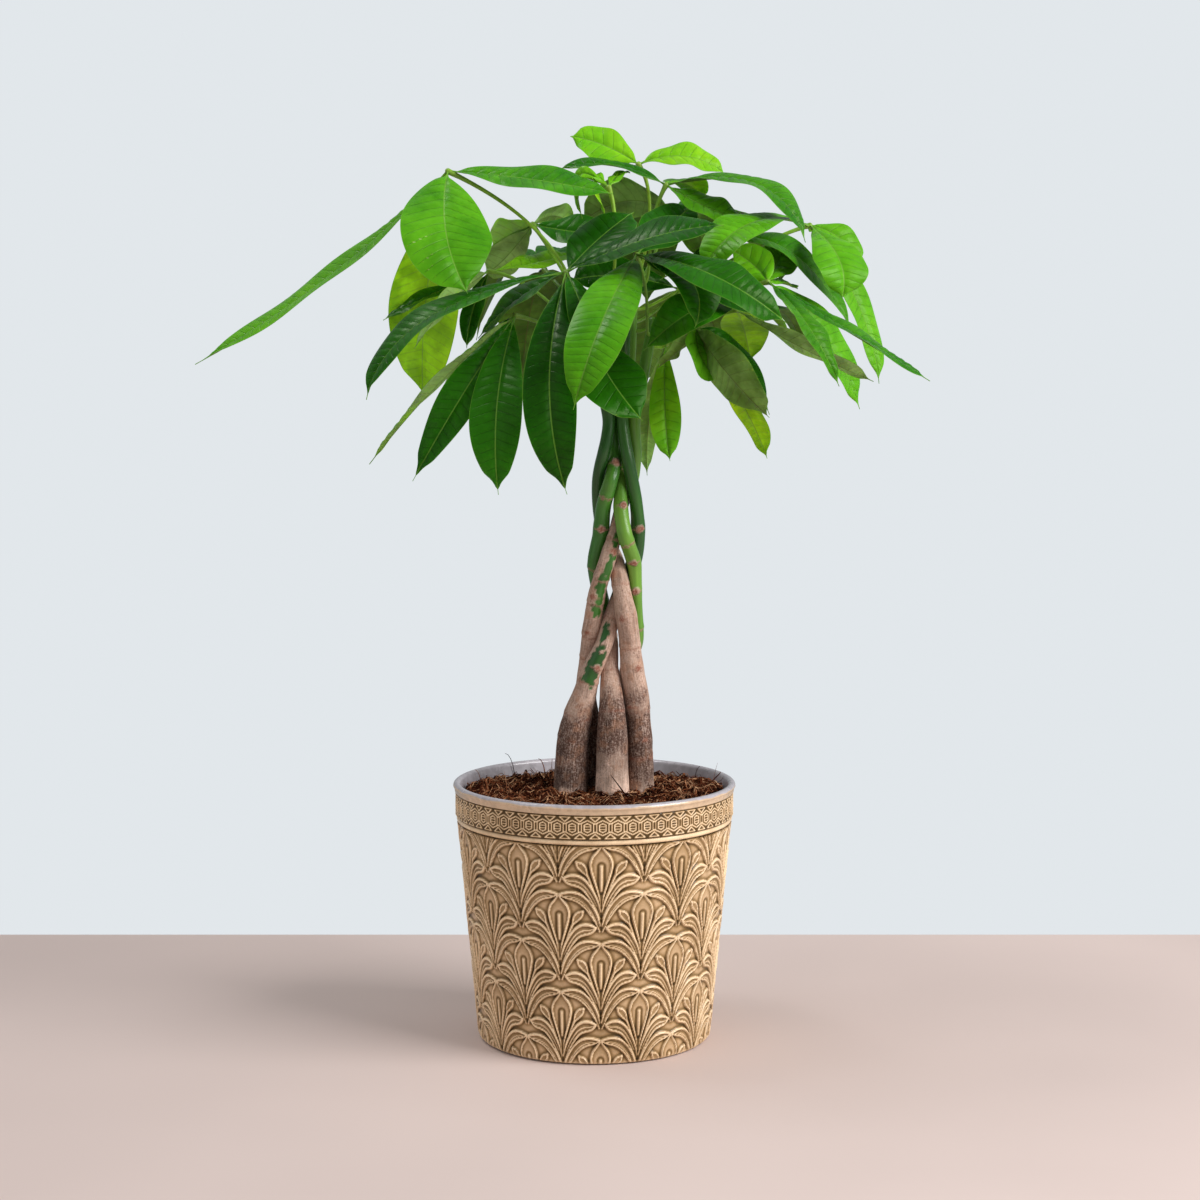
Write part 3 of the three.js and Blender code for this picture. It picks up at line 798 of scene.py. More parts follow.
def dress(surface: Surface, name: str, material: bpy.types.Material, slot: Slot, *replaced: str) -> None:
    """Makes a surface a finished piece: its object and material, riding with the part.

    Args:
        surface: the shape.
        name: the piece's name.
        material: its finish.
        slot: not used.
        replaced: the nodes that the piece stands for.
    """
    piece = surface.to_object(name)
    piece.data.materials.append(material)
    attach(piece, "root")
    if replaced:
        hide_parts(*replaced)
    triangles = 2 * len(surface.quads) + len(surface.triangles)
    log.info("%s: %d triangles", name, triangles)


# Pot


@dataclass(frozen=True)
class Ridge:
    """A raised line of the relief: its points in millimetres, across and down, its height as a share
    of the relief's depth, and its half width in millimetres."""

    points: tuple[tuple[float, float], ...]
    height: float
    half_mm: float


def relief_of(lines: list[tuple[Array, float, float]]) -> Array:
    """Height of a relief of ridges: each is a bell, height * exp(-(d / half)^2), of the distance d
    from its line, and the highest wins.

    Args:
        lines: distance from each ridge's line, its height and its half width.

    Returns:
        The height.
    """
    return np.max([height * np.exp(-((distance / half) ** 2)) for distance, height, half in lines], axis=0)


def blurred(height: Array, step: tuple[float, float], reach: float) -> Array:
    """A periodic height smoothed by a Gaussian bell, as a product of its waves.

    Args:
        height: the height, which repeats beyond its edges.
        step: distance between rows and between columns.
        reach: the bell's half width.

    Returns:
        The smoothed height.
    """
    down, across = (np.fft.fftfreq(n, d) * TAU for n, d in zip(height.shape, step))
    bell = np.exp(-0.5 * reach**2 * (down[:, None] ** 2 + across[None] ** 2))
    return np.fft.ifft2(np.fft.fft2(height) * bell).real


def within(x: Array, y: Array, outline: Array) -> Array:
    """Whether each place lies inside a closed outline: a level ray from it crosses the outline an odd
    number of times.

    Args:
        x: places, across.
        y: places, down.
        outline: the outline's points, shape (n, 2).

    Returns:
        True inside, of the shape of x.
    """
    x0, y0 = outline.T[:, None, None]
    x1, y1 = np.roll(outline, -1, 0).T[:, None, None]
    x, y = x[..., None], y[..., None]
    rise = np.where(y0 == y1, 1, y1 - y0)
    crossed = ((y0 > y) != (y1 > y)) & (x < x0 + (x1 - x0) * (y - y0) / rise)
    return crossed.sum(-1) % 2 == 1


@dataclass
class Pot:
    """The cover pot: a relief field of palmettes, a geometric band, and the plain body with its rim.

    Lengths are in millimetres. A pool is a depth of glaze from 0 to 1. Each of forms names the
    palmette's ridges that bound one of its flat forms, and the first of them is the bud.
    """

    height: float = 165
    base_radius: float = 73.7
    field_top_radius: float = 86.6
    field_top: float = 139.8
    rim_radius: float = 90
    wall: float = 5
    floor: float = 8
    floor_round: float = 6
    foot_round: float = 2.5
    under_relief: float = 2.2
    sleeve_depth: float = 2.0
    turned_columns: int = 240
    ledge_radius: float = 87.9
    ledge_bulge: float = 1.1
    ledge_top: float = 143.4
    band_top: float = 158.6
    band_radius: float = 88.4
    motif_angle: float = 3.2
    motif_columns: int = 10
    row_pitch: float = 31
    cell_columns: int = 84
    cell_rows: int = 42
    relief_depth: float = 1.45
    relief_level: float = 0.25
    ridge_taper: float = 0.35
    hollow_reach: float = 1.2
    ground_pool: float = 0.18
    form_pool: float = 0.06
    arch_pool: float = 0.2
    arch_from_heart: float = 2.1
    arch_half: float = 0.9
    form_height: float = 0.42
    form_blur: float = 0.5
    pool_gain: float = 2.4
    valley_pool: float = 0.3
    valley_half: float = 2.6
    top_pool: float = 0.75
    sink: float = 0.8
    band_depth: float = 0.55
    band_level: float = 0.4
    band_groove: float = 0.45
    band_pool: float = 0.86
    band_angle: float = 0.4
    band_repeats: int = 60
    band_cell_columns: int = 24
    band_rows: int = 30
    palmette: tuple[Ridge, ...] = (
        Ridge(((0, 0.5), (2.6, 3.6), (5.3, 7.2), (6.5, 11.0), (6.2, 14.8), (5.1, 19.0), (3.9, 23.0),
               (2.8, 26.5), (1.8, 30.0), (1.0, 33.5), (0.4, 38)), 0.95, 0.85),
        Ridge(((0, 12.8), (0, 18), (0, 28)), 0.8, 1.0),
        Ridge(((8.9, 18.2), (9.2, 15.2), (10.4, 12.6), (12.5, 10.9), (15.4, 10.2)), 0.85, 0.7),
        Ridge(((15.4, 10.2), (14.4, 13.4), (12.0, 15.9), (9.0, 18.4)), 0.85, 0.7),
        Ridge(((8.8, 18.4), (7.4, 21.6), (5.8, 25.2), (4.2, 29.4), (2.6, 33.6)), 0.7, 0.85),
        Ridge(((0.4, 41), (2.3, 34.6), (4.6, 29.4), (7.6, 24.5), (10.9, 20.9), (14.8, 18.9), (19.2, 18.8),
               (23.4, 20.4)), 1.05, 1.1),
        Ridge(((23.2, 20.9), (19.5, 22.0), (15.5, 22.4), (11.7, 24.2), (8.6, 27.6), (5.6, 32.2), (2.8, 38)),
              0.72, 0.85),
        Ridge(((23.6, 20.8), (20.4, 23.7), (16.2, 24.9), (12.6, 26.4), (9.2, 30.0), (6.0, 34.8), (3.2, 40.2),
               (0.9, 46)), 0.95, 0.85),
        Ridge(((0.5, 50), (2.5, 43.8), (5.0, 38.8), (8.2, 34.4), (12.2, 31.0), (16.6, 29.5), (21.0, 29.5),
               (26.3, 30.8)), 1.05, 1.05),
        Ridge(((26.0, 31.2), (21.2, 31.8), (16.8, 32.6), (12.4, 34.9), (8.8, 38.4), (5.6, 43.0), (2.6, 49)),
              0.66, 0.8),
        Ridge(((26.3, 31.3), (21.8, 32.9), (17.6, 33.9), (13.6, 35.9), (9.8, 39.3), (6.5, 43.6), (3.4, 48.6),
               (0.9, 54)), 0.9, 0.75),
    )
    forms: tuple[tuple[int, ...], ...] = ((0,), (2, 3), (5, 7), (8, 10))
    band: tuple[Ridge, ...] = (
        Ridge(((0, 6.6), (3.2, 6.6), (0, 3.8)), 1.0, 0.4),
        Ridge(((0, 2.4), (4.63, 4.6)), 1.0, 0.4),
        Ridge(((0.95, 0), (0.95, 2.6)), 0.95, 0.36),
        Ridge(((2.6, 0), (2.6, 1.75), (4.63, 2.75)), 1.0, 0.38),
        Ridge(((2.6, 0.87), (4.63, 0.87)), 0.9, 0.34),
    )

    def outer(self, z: Array | float) -> Array | float:
        """Radius of the field's ground at a height."""
        return self.base_radius + (self.field_top_radius - self.base_radius) * z / self.field_top

    def outline(self, ridges: tuple[int, ...]) -> Array:
        """Outline of one of the palmette's forms, closed on the axis where a single ridge bounds it.

        Args:
            ridges: numbers of the ridges that bound it.

        Returns:
            Its points, shape (n, 2).
        """
        outline = np.concatenate([np.array(self.palmette[k].points, float) for k in ridges])
        return np.concatenate([outline, [(0, outline[-1, 1])]]) if len(ridges) == 1 else outline

    def cell(self) -> tuple[Array, Array]:
        """Relief and pool of one cell of the field: one motif wide and two rows high.

        The motifs stand on a lattice, half a column aside from row to row, and each point takes
        the highest ridge and the forms of every motif that reaches it. Ridges thin out towards
        the foot of their motif, and the forms, which ridges bound, stand a little proud of the
        ground. The glaze pools where a point lies lower than the smoothed relief round it, where
        the surface sinks too, in the arch round each bud's heart, and in the valley along the foot
        of each motif.

        Returns:
            Height as a share of the depth and pool, shape (2 * cell_rows, cell_columns).
        """
        half_pitch = math.radians(180 / self.motif_columns) * (self.field_top_radius - 1)
        columns = np.arange(self.cell_columns) * 2 * half_pitch / self.cell_columns
        rows = np.arange(2 * self.cell_rows) * self.row_pitch / self.cell_rows
        down, across = np.meshgrid(rows, columns, indexing="ij")
        places = [(np.abs(across - column * half_pitch), down - row * self.row_pitch)
                  for row in range(-2, 2) for column in range(-2, 4) if (row + column) % 2 == 0]
        lines = []
        for ridge in self.palmette:
            line = spline(np.array(ridge.points, float), 6)
            near = [line_distance(x, y, line) / (1 - self.ridge_taper * smooth_step(24, 52, y))
                    for x, y in places]
            lines.append((np.min(near, axis=0), ridge.height, ridge.half_mm))
        bud, *others = [np.max([within(x, y, self.outline(ridges)) for x, y in places], axis=0)
                        for ridges in self.forms]
        step = (self.row_pitch / self.cell_rows, 2 * half_pitch / self.cell_columns)
        form = blurred(np.max([bud, *others], axis=0).astype(float), step, self.form_blur)
        arch = bud * np.exp(-(((lines[1][0] - self.arch_from_heart) / self.arch_half) ** 2))
        valley = np.max([smooth_step(24, 38, y) * smooth_step(60, 50, y)
                         * np.exp(-((x / self.valley_half) ** 2)) for x, y in places], axis=0)
        proud = self.form_height * form * (1 - 0.5 * arch)
        relief = np.maximum(relief_of(lines) * (1 - 0.25 * valley), proud)
        hollow = blurred(relief, step, self.hollow_reach) - relief
        pool = self.ground_pool + self.form_pool * form + self.arch_pool * arch
        pool = pool + self.pool_gain * hollow * (1 - 0.3 * valley) + self.valley_pool * valley
        return relief - self.sink * np.clip(hollow, 0, 1), np.clip(pool, 0, 1)

    def sleeve(self, radius: Array, z: Array, pool: Array) -> Surface:
        """A closed ring of relief: the outer surface, and a plain back that lies sleeve_depth in from
        its first and last rows.

        Args:
            radius: outer radius at each point, shape (rows, columns), from the lowest row up.
            z: height of each row.
            pool: depth of the glaze at each point.

        Returns:
            The closed surface in metres.
        """
        columns = radius.shape[1]
        outer = lathe_ring(radius, np.repeat(z[:, None], columns, 1), columns)
        back = np.array([radius[-1].min(), radius[0].min()]) - self.sleeve_depth
        points = np.concatenate([outer, lathe_ring(back, z[[-1, 0]], columns)]) * MM
        rows = len(points)
        quads = ring_quads(rows + 1, columns) % (rows * columns)
        depth = np.concatenate([pool, np.ones((2, columns))])
        return Surface(points.reshape(-1, 3), quads, np.zeros((0, 3), int), {"pool": depth.ravel()})

    def field_sleeves(self) -> tuple[Surface, Surface]:
        """The field: the cell repeated round and down from the ledge, on the tapered wall, fading out
        over the rounded foot.

        Returns:
            Its lower and its upper half.
        """
        step = self.row_pitch / self.cell_rows
        rows = int((self.field_top - 0.4) / step)
        index = np.arange(rows, -1, -1)
        z = self.field_top - index * step
        index = index % (2 * self.cell_rows)
        turn = round(self.motif_angle / 360 * self.motif_columns * self.cell_columns)
        relief, pool = (np.roll(np.tile(values[index], (1, self.motif_columns)), turn, 1)
                        for values in self.cell())
        foot = self.foot_round * (1 - np.sqrt(1 - np.clip(1 - z / self.foot_round, 0, 1) ** 2))
        fade = smooth_step(0, 3, z)[:, None]
        ledge = 1 - smooth_step(self.field_top, self.field_top - 1.2, z)[:, None]
        radius = (self.outer(z) - foot)[:, None] + self.relief_depth * (relief - self.relief_level) * fade
        pool = np.maximum(pool * fade, self.top_pool * ledge)
        half = rows // 2
        low, high = slice(None, half + 1), slice(half, None)
        return self.sleeve(radius[low], z[low], pool[low]), self.sleeve(radius[high], z[high], pool[high])

    def band_sleeve(self) -> Surface:
        """The band: rows of triangles, zigzags and hexagons, mirrored in each repeat, between two
        grooves.

        Returns:
            The closed surface in metres.
        """
        low, high = self.ledge_top + 0.2, self.band_top + 0.2
        z = np.linspace(low, high, self.band_rows)
        columns = self.band_repeats * self.band_cell_columns
        turn = (np.arange(columns) * 360 / columns - self.band_angle) * self.band_repeats / 360
        across = np.abs(turn - np.round(turn)) * (TAU * self.band_radius / self.band_repeats)
        x, y = np.meshgrid(across, np.abs(z - (low + high) / 2))
        relief = relief_of([(line_distance(x, y, np.array(ridge.points, float)), ridge.height, ridge.half_mm)
                            for ridge in self.band])
        pool = 1 - smooth_step(0.02, 0.62, relief)
        groove = smooth_step(0.9, 0.1, np.minimum(z - low, high - z)[:, None])
        radius = self.band_radius + self.band_depth * (relief - self.band_level) - self.band_groove * groove
        return self.sleeve(radius, z, np.maximum(pool * self.band_pool, groove))

    def ledge_sleeve(self) -> Surface:
        """The plain ledge under the band: a half-round moulding.

        Returns:
            The closed surface in metres.
        """
        turn = np.linspace(-0.5, 0.5, 9) * math.pi
        half = (self.ledge_top - self.field_top) / 2 - 0.2
        z = self.field_top + 0.45 + half * (1 + np.sin(turn))
        radius = self.ledge_radius - self.ledge_bulge + self.ledge_bulge * np.cos(turn)
        pool = 0.32 - 0.3 * np.cos(turn)
        radius, pool = (np.repeat(values[:, None], self.turned_columns, 1) for values in (radius, pool))
        return self.sleeve(radius, z, pool)

    def body(self) -> Surface:
        """The plain body: foot, a wall just under the relief, the lip, the rolled rim, the inside and
        its floor, as one closed turned shape.

        Returns:
            The closed surface in metres.
        """
        base, rim, band = self.base_radius, self.rim_radius, self.band_radius - self.under_relief
        profile = [(0.01, 0), (30, 0), (base - 8, 0), (base - 3.4, 0), (base - 2.4, 0.3)]
        hidden_from = len(profile)
        profile += [(self.outer(z) - self.under_relief, z) for z in (6, 70, self.field_top)]
        profile += [(band, self.ledge_top), (band, self.band_top), (rim - 1.9, self.band_top + 0.1)]
        hidden_to = len(profile)
        profile += [(rim - 1.1, self.band_top + 0.5), (rim - 0.9, self.band_top + 1.2),
                    (rim - 0.9, self.height - 3.4), (rim - 0.4, self.height - 2.9)]
        roll = self.wall / 2 - 0.1
        lip = np.linspace(0, math.pi, 15)
        lip_top = len(profile) + len(lip) // 2
        profile += [(rim - roll + roll * math.cos(a), self.height - roll + roll * math.sin(a)) for a in lip]
        profile += [(self.outer(z) - self.wall, z) for z in (152, 120, 60, 14)]
        profile += [(self.outer(self.floor) - self.wall - self.floor_round, self.floor), (30, self.floor),
                    (0.01, self.floor)]
        shape = np.array(profile)
        rings = lathe_ring(shape[:, 0], shape[:, 1], self.turned_columns) * MM
        row = np.arange(len(shape))
        look = np.stack([row >= lip_top, (row >= hidden_from) & (row < hidden_to), 0 * row], -1).astype(float)
        return closed_bodies(rings[None], {"look": np.repeat(look[None, :, None], self.turned_columns, 2)})

    def build(self) -> None:
        """Makes and dresses the pot's pieces."""
        glaze = GlazeFinish().build()
        dress(self.body(), "pot_body", RimFinish().build(), Slot.GLAZE, "pot")
        for name, half in zip(("pot_field_low", "pot_field_high"), self.field_sleeves()):
            dress(half, name, glaze, Slot.GLAZE)
        dress(self.band_sleeve(), "pot_band", glaze, Slot.GLAZE)
        dress(self.ledge_sleeve(), "pot_ledge", glaze, Slot.GLAZE)


# Soil


@dataclass(frozen=True)
class Upright:
    """A strand that stands up out of the soil, in millimetres: its foot, how far its tip leans to the
    right, its rise, its half thickness, and its shade of brown."""

    foot: tuple[float, float]
    lean: float
    rise: float
    half: float
    shade: float


@dataclass
class Soil:
    """Coir in the pot: a lumpy filling, and loose fibres and chips that lie on it and stick out.

    Lengths are in millimetres and climbs in radians; pairs of them are the least and the most. Each
    of lumps is a height and the size of its waves, and the bow is a share of a fibre's length.
    """

    top: float = 156.0
    foot: float = 8.3
    clear: float = 0.4
    mound: float = 1.0
    side_rise: float = 4.2
    lumps: tuple[tuple[float, float], ...] = ((1.5, 30), (1.7, 12), (1.3, 5.5))
    columns: int = 260
    fibres: int = 2500
    fibre_length: tuple[float, float] = (5, 22)
    fibre_climb: tuple[float, float] = (-0.12, 0.3)
    fibre_lift: tuple[float, float] = (0.2, 3.4)
    fibre_bow: float = 0.16
    stray_fibres: int = 46
    stray_length: tuple[float, float] = (9, 20)
    stray_climb: tuple[float, float] = (0.35, 1.2)
    light_share: float = 0.04
    chips: int = 420
    chip_length: tuple[float, float] = (1.2, 4.6)
    chip_half: tuple[float, float] = (0.35, 1.1)
    chip_lift: tuple[float, float] = (-0.3, 0.9)
    upright: tuple[Upright, ...] = (
        Upright((-53, 64), -6.5, 18, 0.34, 0.08),
        Upright((-33, 70), -4.5, 12, 0.45, 0.72),
        Upright((66, 48), 3.5, 11, 0.32, 0.2),
        Upright((-74, 30), -4, 9, 0.28, 0.85),
    )
    seed: int = 41

    def height(self, x: Array, y: Array, edge: float) -> Array:
        """Height of the filling's top: higher to the sides, with lumps of three sizes.

        Args:
            x: places to the right.
            y: places to the back.
            edge: radius of the filling.

        Returns:
            The heights.
        """
        place = np.stack([x, y], -1)
        share = np.hypot(x, y) / edge
        lumps = sum(high * waves(place, size, 3 + k) for k, (high, size) in enumerate(self.lumps))
        inward = smooth_step(1.0, 0.9, share)
        rise = self.side_rise * smooth_step(-0.75, 0.05, y / edge) * share
        rise = rise * (1 - 1.2 * smooth_step(0.1, 0.75, y / edge))
        return self.top - 1.6 + self.mound * (1 - share**2) + rise + inward * (1.6 + lumps)

    def filling(self, edge: float, foot: float) -> Surface:
        """The filling as one closed turned shape with a lumpy top.

        Args:
            edge: its radius at the top.
            foot: its radius at the pot's floor.

        Returns:
            The closed surface in metres.
        """
        share = np.concatenate([np.linspace(1, 0.06, 62), [0.01]])[:, None]
        azimuth = np.arange(self.columns) * TAU / self.columns
        x, y = edge * share * np.sin(azimuth), -edge * share * np.cos(azimuth)
        top = np.stack([x, y, self.height(x, y, edge)], -1)
        side = lathe_ring(np.array([foot * 0.01, foot, edge]), np.array([self.foot, self.foot, self.top - 6]),
                          self.columns)
        rings = np.concatenate([side, top]) * MM
        return closed_bodies(rings[None], {"shade": np.full((1, *rings.shape[:2]), 0.3)})

    @staticmethod
    def scatter(rng: np.random.Generator, reach: float, count: int) -> tuple[Array, Array]:
        """Random places, even over a disc.

        Args:
            rng: the random numbers.
            reach: radius of the disc.
            count: number of places.

        Returns:
            Places to the right and to the back.
        """
        out = reach * np.sqrt(rng.uniform(0, 1, count))
        around = rng.uniform(0, TAU, count)
        return out * np.sin(around), -out * np.cos(around)

    def lying(self, edge: float, t: Array) -> tuple[Array, Array, Array]:
        """Strands that start on the filling, run a random way nearly level on a bowed path and sink at
        their end; the stray ones, the last of them, climb.

        Args:
            edge: radius of the filling.
            t: shares of a strand's length, shape (1, points).

        Returns:
            Paths and half thicknesses in millimetres, and the shade of each strand.
        """
        rng = np.random.default_rng(self.seed)
        count = self.fibres + self.stray_fibres
        stray = np.arange(count) >= self.fibres
        x, y = self.scatter(rng, edge - 3, count)
        heading = rng.uniform(0, TAU, count)[:, None]
        length, climb = (np.where(stray, rng.uniform(*climbing, count), rng.uniform(*level, count))
                         for climbing, level in ((self.stray_length, self.fibre_length),
                                                 (self.stray_climb, self.fibre_climb)))
        climb = climb[:, None]
        bow = rng.normal(0, self.fibre_bow, count) * length
        along = length[:, None] * t * np.cos(climb)
        aside = bow[:, None] * t * (1 - t) * 4
        px = x[:, None] + along * np.cos(heading) - aside * np.sin(heading)
        py = y[:, None] + along * np.sin(heading) + aside * np.cos(heading)
        inside = np.minimum(1, (edge - 0.6) / np.maximum(np.hypot(px, py), 1e-6))
        px, py = px * inside, py * inside
        lift = rng.uniform(*self.fibre_lift, count)[:, None] * np.sin(np.pi * np.clip(t * 0.9 + 0.08, 0, 1))
        risen = self.height(x, y, edge)[:, None] + length[:, None] * t * np.sin(climb)
        pz = np.where(stray[:, None], risen, self.height(px, py, edge) + lift)
        thick = (0.15 + 0.4 * rng.uniform(0, 1, count) ** 2.2)[:, None] * (1 - 0.6 * t**3)
        shade = rng.uniform(0.05, 0.95, count)
        shade = np.where(rng.uniform(0, 1, count) > 1 - self.light_share, 0.97, shade)
        return np.stack([px, py, pz], -1), thick, shade

    def standing(self, edge: float, t: Array) -> tuple[Array, Array, Array]:
        """Strands that stand up by the wall: each rises as a quarter sine wave and leans more and more.

        Args:
            edge: radius of the filling.
            t: shares of a strand's length, shape (1, points).

        Returns:
            Paths and half thicknesses in millimetres, and the shade of each strand.
        """
        rows = np.array([(*each.foot, each.lean, each.rise, each.half, each.shade) for each in self.upright])
        x, y, lean, rise, half, shade = rows.T[..., None]
        high = self.height(x, y, edge) + np.sin(t * np.pi / 2) * rise
        path = np.stack([x + lean * t**1.6, y + 0 * t, high], -1)
        return path, half * (1 - 0.5 * t), shade[:, 0]

    def strands(self, edge: float) -> Surface:
        """All the fibres, each a three-sided strand that thins out to its end.

        Args:
            edge: radius of the filling.

        Returns:
            Their closed surfaces in metres.
        """
        t = np.linspace(0, 1, 6)[None]
        both = zip(self.lying(edge, t), self.standing(edge, t))
        path, thick, shade = (np.concatenate(pair) for pair in both)
        rings = tube_rings(path * MM, thick * MM, 3)
        return closed_bodies(rings, {"shade": np.broadcast_to(shade[:, None, None], rings.shape[:3])})

    def flakes(self, edge: float) -> Surface:
        """Chips: short thick four-sided pieces, turned at random, half sunk in the filling.

        Args:
            edge: radius of the filling.

        Returns:
            Their closed surfaces in metres.
        """
        rng = np.random.default_rng(self.seed + 1)
        x, y = self.scatter(rng, edge - 2.5, self.chips)
        centre = np.stack([x, y, self.height(x, y, edge) + rng.uniform(*self.chip_lift, self.chips)], -1)
        way = unit(rng.normal(size=(self.chips, 3)) * (1, 1, 0.35))
        length = rng.uniform(*self.chip_length, self.chips)
        t = np.array([-0.5, -0.38, 0.0, 0.4, 0.5])
        path = centre[:, None] + way[:, None] * (length[:, None] * t)[..., None]
        path = path + rng.normal(0, 0.12, path.shape)
        thick = rng.uniform(*self.chip_half, self.chips)[:, None] * np.array([0.5, 0.95, 1.1, 0.9, 0.45])
        shade = rng.uniform(0.05, 0.85, self.chips)[:, None, None]
        rings = tube_rings(path * MM, thick * MM, 4)
        return closed_bodies(rings, {"shade": np.broadcast_to(shade, rings.shape[:3])})

    def build(self, pot: Pot) -> None:
        """Makes and dresses the filling and what lies on it.

        Args:
            pot: the pot that holds it.
        """
        edge, foot = (pot.outer(z) - pot.wall - self.clear for z in (self.top, pot.floor))
        coir = CoirFinish().build()
        dress(self.filling(edge, foot - pot.floor_round), "soil_filling", coir, Slot.SOIL, "soil")
        dress(self.strands(edge), "soil_fibres", coir, Slot.SOIL)
        dress(self.flakes(edge), "soil_chips", coir, Slot.SOIL)


# Stems


@dataclass(frozen=True)
class StemLook:
    """How a stem is coloured, in millimetres of height: where its green skin starts, the green's
    tone, from where to where its bark is old, green patches on the bark as (low, high, azimuth,
    half width), scars as (height, azimuth), and the heights of the joint lines round it."""

    green_from: float
    tone: float
    aged_from: float
    aged_to: float
    patches: tuple[tuple[float, float, float, float], ...] = ()
    scars: tuple[tuple[float, float], ...] = ()
    joints: tuple[float, ...] = ()


# Each row is x, y, height and radius in millimetres, from the stem's foot in the soil to its top.
STEM_ROWS: dict[str, tuple[tuple[float, ...], ...]] = {
    "stem_1": (
        (-16.5, -3, 112, 11), (-15.2, -4, 152, 11), (-12.8, -4, 194, 10), (-5.9, -5, 220, 7.8),
        (-0.8, -6.5, 237, 6.1), (6.8, -7, 254, 5.5), (12.2, 0, 272, 5.2), (18, 4, 289, 5),
        (25, 5, 305, 4.8), (27, 2, 322, 4.4), (25.6, -3, 340, 4.1), (22.8, -6, 357, 4.1),
        (19.9, -7, 374, 4.1), (17.6, -5, 394, 3.9), (18, -9, 420, 3.8), (19, -15, 450, 3.4),
    ),
    "stem_2": (
        (11.5, -12, 112, 10.8), (11.3, -12, 152, 10.8), (11.2, -11, 194, 9.6), (10.6, -8, 220, 7.4),
        (9.6, 0, 237, 5.6), (10.8, 4.5, 254, 4.7), (7.4, 9.5, 272, 4.7), (3.6, 5, 289, 4.9),
        (2, 1, 305, 5), (5.5, 0, 322, 5), (7.5, -3, 340, 4.8), (11.4, -7.5, 357, 4.4),
        (13.8, 2.2, 374, 4.1), (11, 4, 394, 4), (9, 9, 420, 3.8), (8, 14, 462, 3.3),
    ),
    "stem_3": (
        (31, 1, 112, 9), (29.5, 0, 152, 9), (27.8, -1, 194, 8), (25.6, -2, 220, 7.8),
        (22.6, -3, 237, 7.3), (20.7, -4, 254, 6.7), (18.5, -11.5, 272, 6.6), (15.8, -9, 289, 5.6),
        (13.1, 0.5, 305, 5.2), (6.5, 10.5, 322, 4.6), (3.7, 8, 340, 4.3), (4, 1, 357, 4.1),
        (7, -6.5, 374, 3.9), (9.3, -5, 394, 3.9), (4, -8, 420, 3.8), (-3, -9, 455, 3.3),
    ),
    "stem_4": (
        (-0.5, 18, 112, 9), (-0.2, 17, 152, 9), (-2.7, 14, 194, 8), (-4.6, 10, 220, 6.5),
        (-3.1, 6.5, 237, 5.6), (-0.6, 2.5, 254, 5.6), (1.6, -4, 272, 5.4), (4.6, -7, 289, 5.2),
        (9, -10, 305, 5.1), (13.6, -6, 322, 4.3), (17.5, 1.5, 340, 4.1), (23.8, 4.8, 357, 4),
        (25.7, 2, 374, 3.9), (25.1, -1, 394, 3.8), (30, -2, 420, 3.7), (37, -3, 456, 3.3),
    ),
    "stem_5": (
        (20, 21, 112, 9), (20, 20, 152, 9), (20, 15, 194, 7.5), (20, 11.5, 220, 6),
        (21, 10, 237, 5), (26, 7.5, 254, 4.4), (25.6, 3, 272, 3.9), (24.2, -3, 289, 3.9),
        (23.2, -5, 305, 4.4), (17.9, -14.5, 322, 4.8), (15.2, -9, 340, 4.3), (15.9, 0, 357, 3.9),
        (16.8, 9.5, 374, 3.9), (19.3, 6, 394, 3.8), (22, 10, 425, 3.7), (25, 12, 484, 3.1),
    ),
}

STEM_LOOKS: dict[str, StemLook] = {
    "stem_1": StemLook(281, 0.1, 120, 204, ((228, 250, -8, 5.0), (246, 266, -22, 2.4)),
                       ((240, 24), (327, 15)), (193, 207, 229, 268)),
    "stem_2": StemLook(268, 0.45, 181, 218, (), ((327, 0), (366, 10)), (211, 234, 256, 301, 347)),
    "stem_3": StemLook(322, 0.12, 166, 213, (), ((192, 24), (214, -34), (238, 30), (272, -25)),
                       (180, 210, 251, 290)),
    "stem_4": StemLook(338, 0.7, 120, 216, ((270, 300, 12, 3.2), (296, 328, 32, 2.6)),
                       ((262, -20), (284, -28), (312, 30)), (222, 243, 258, 279, 295, 319)),
    "stem_5": StemLook(252, 0.75, 120, 212, (), ((288, 0), (307, 0), (340, 20)), (262, 318, 361)),
}


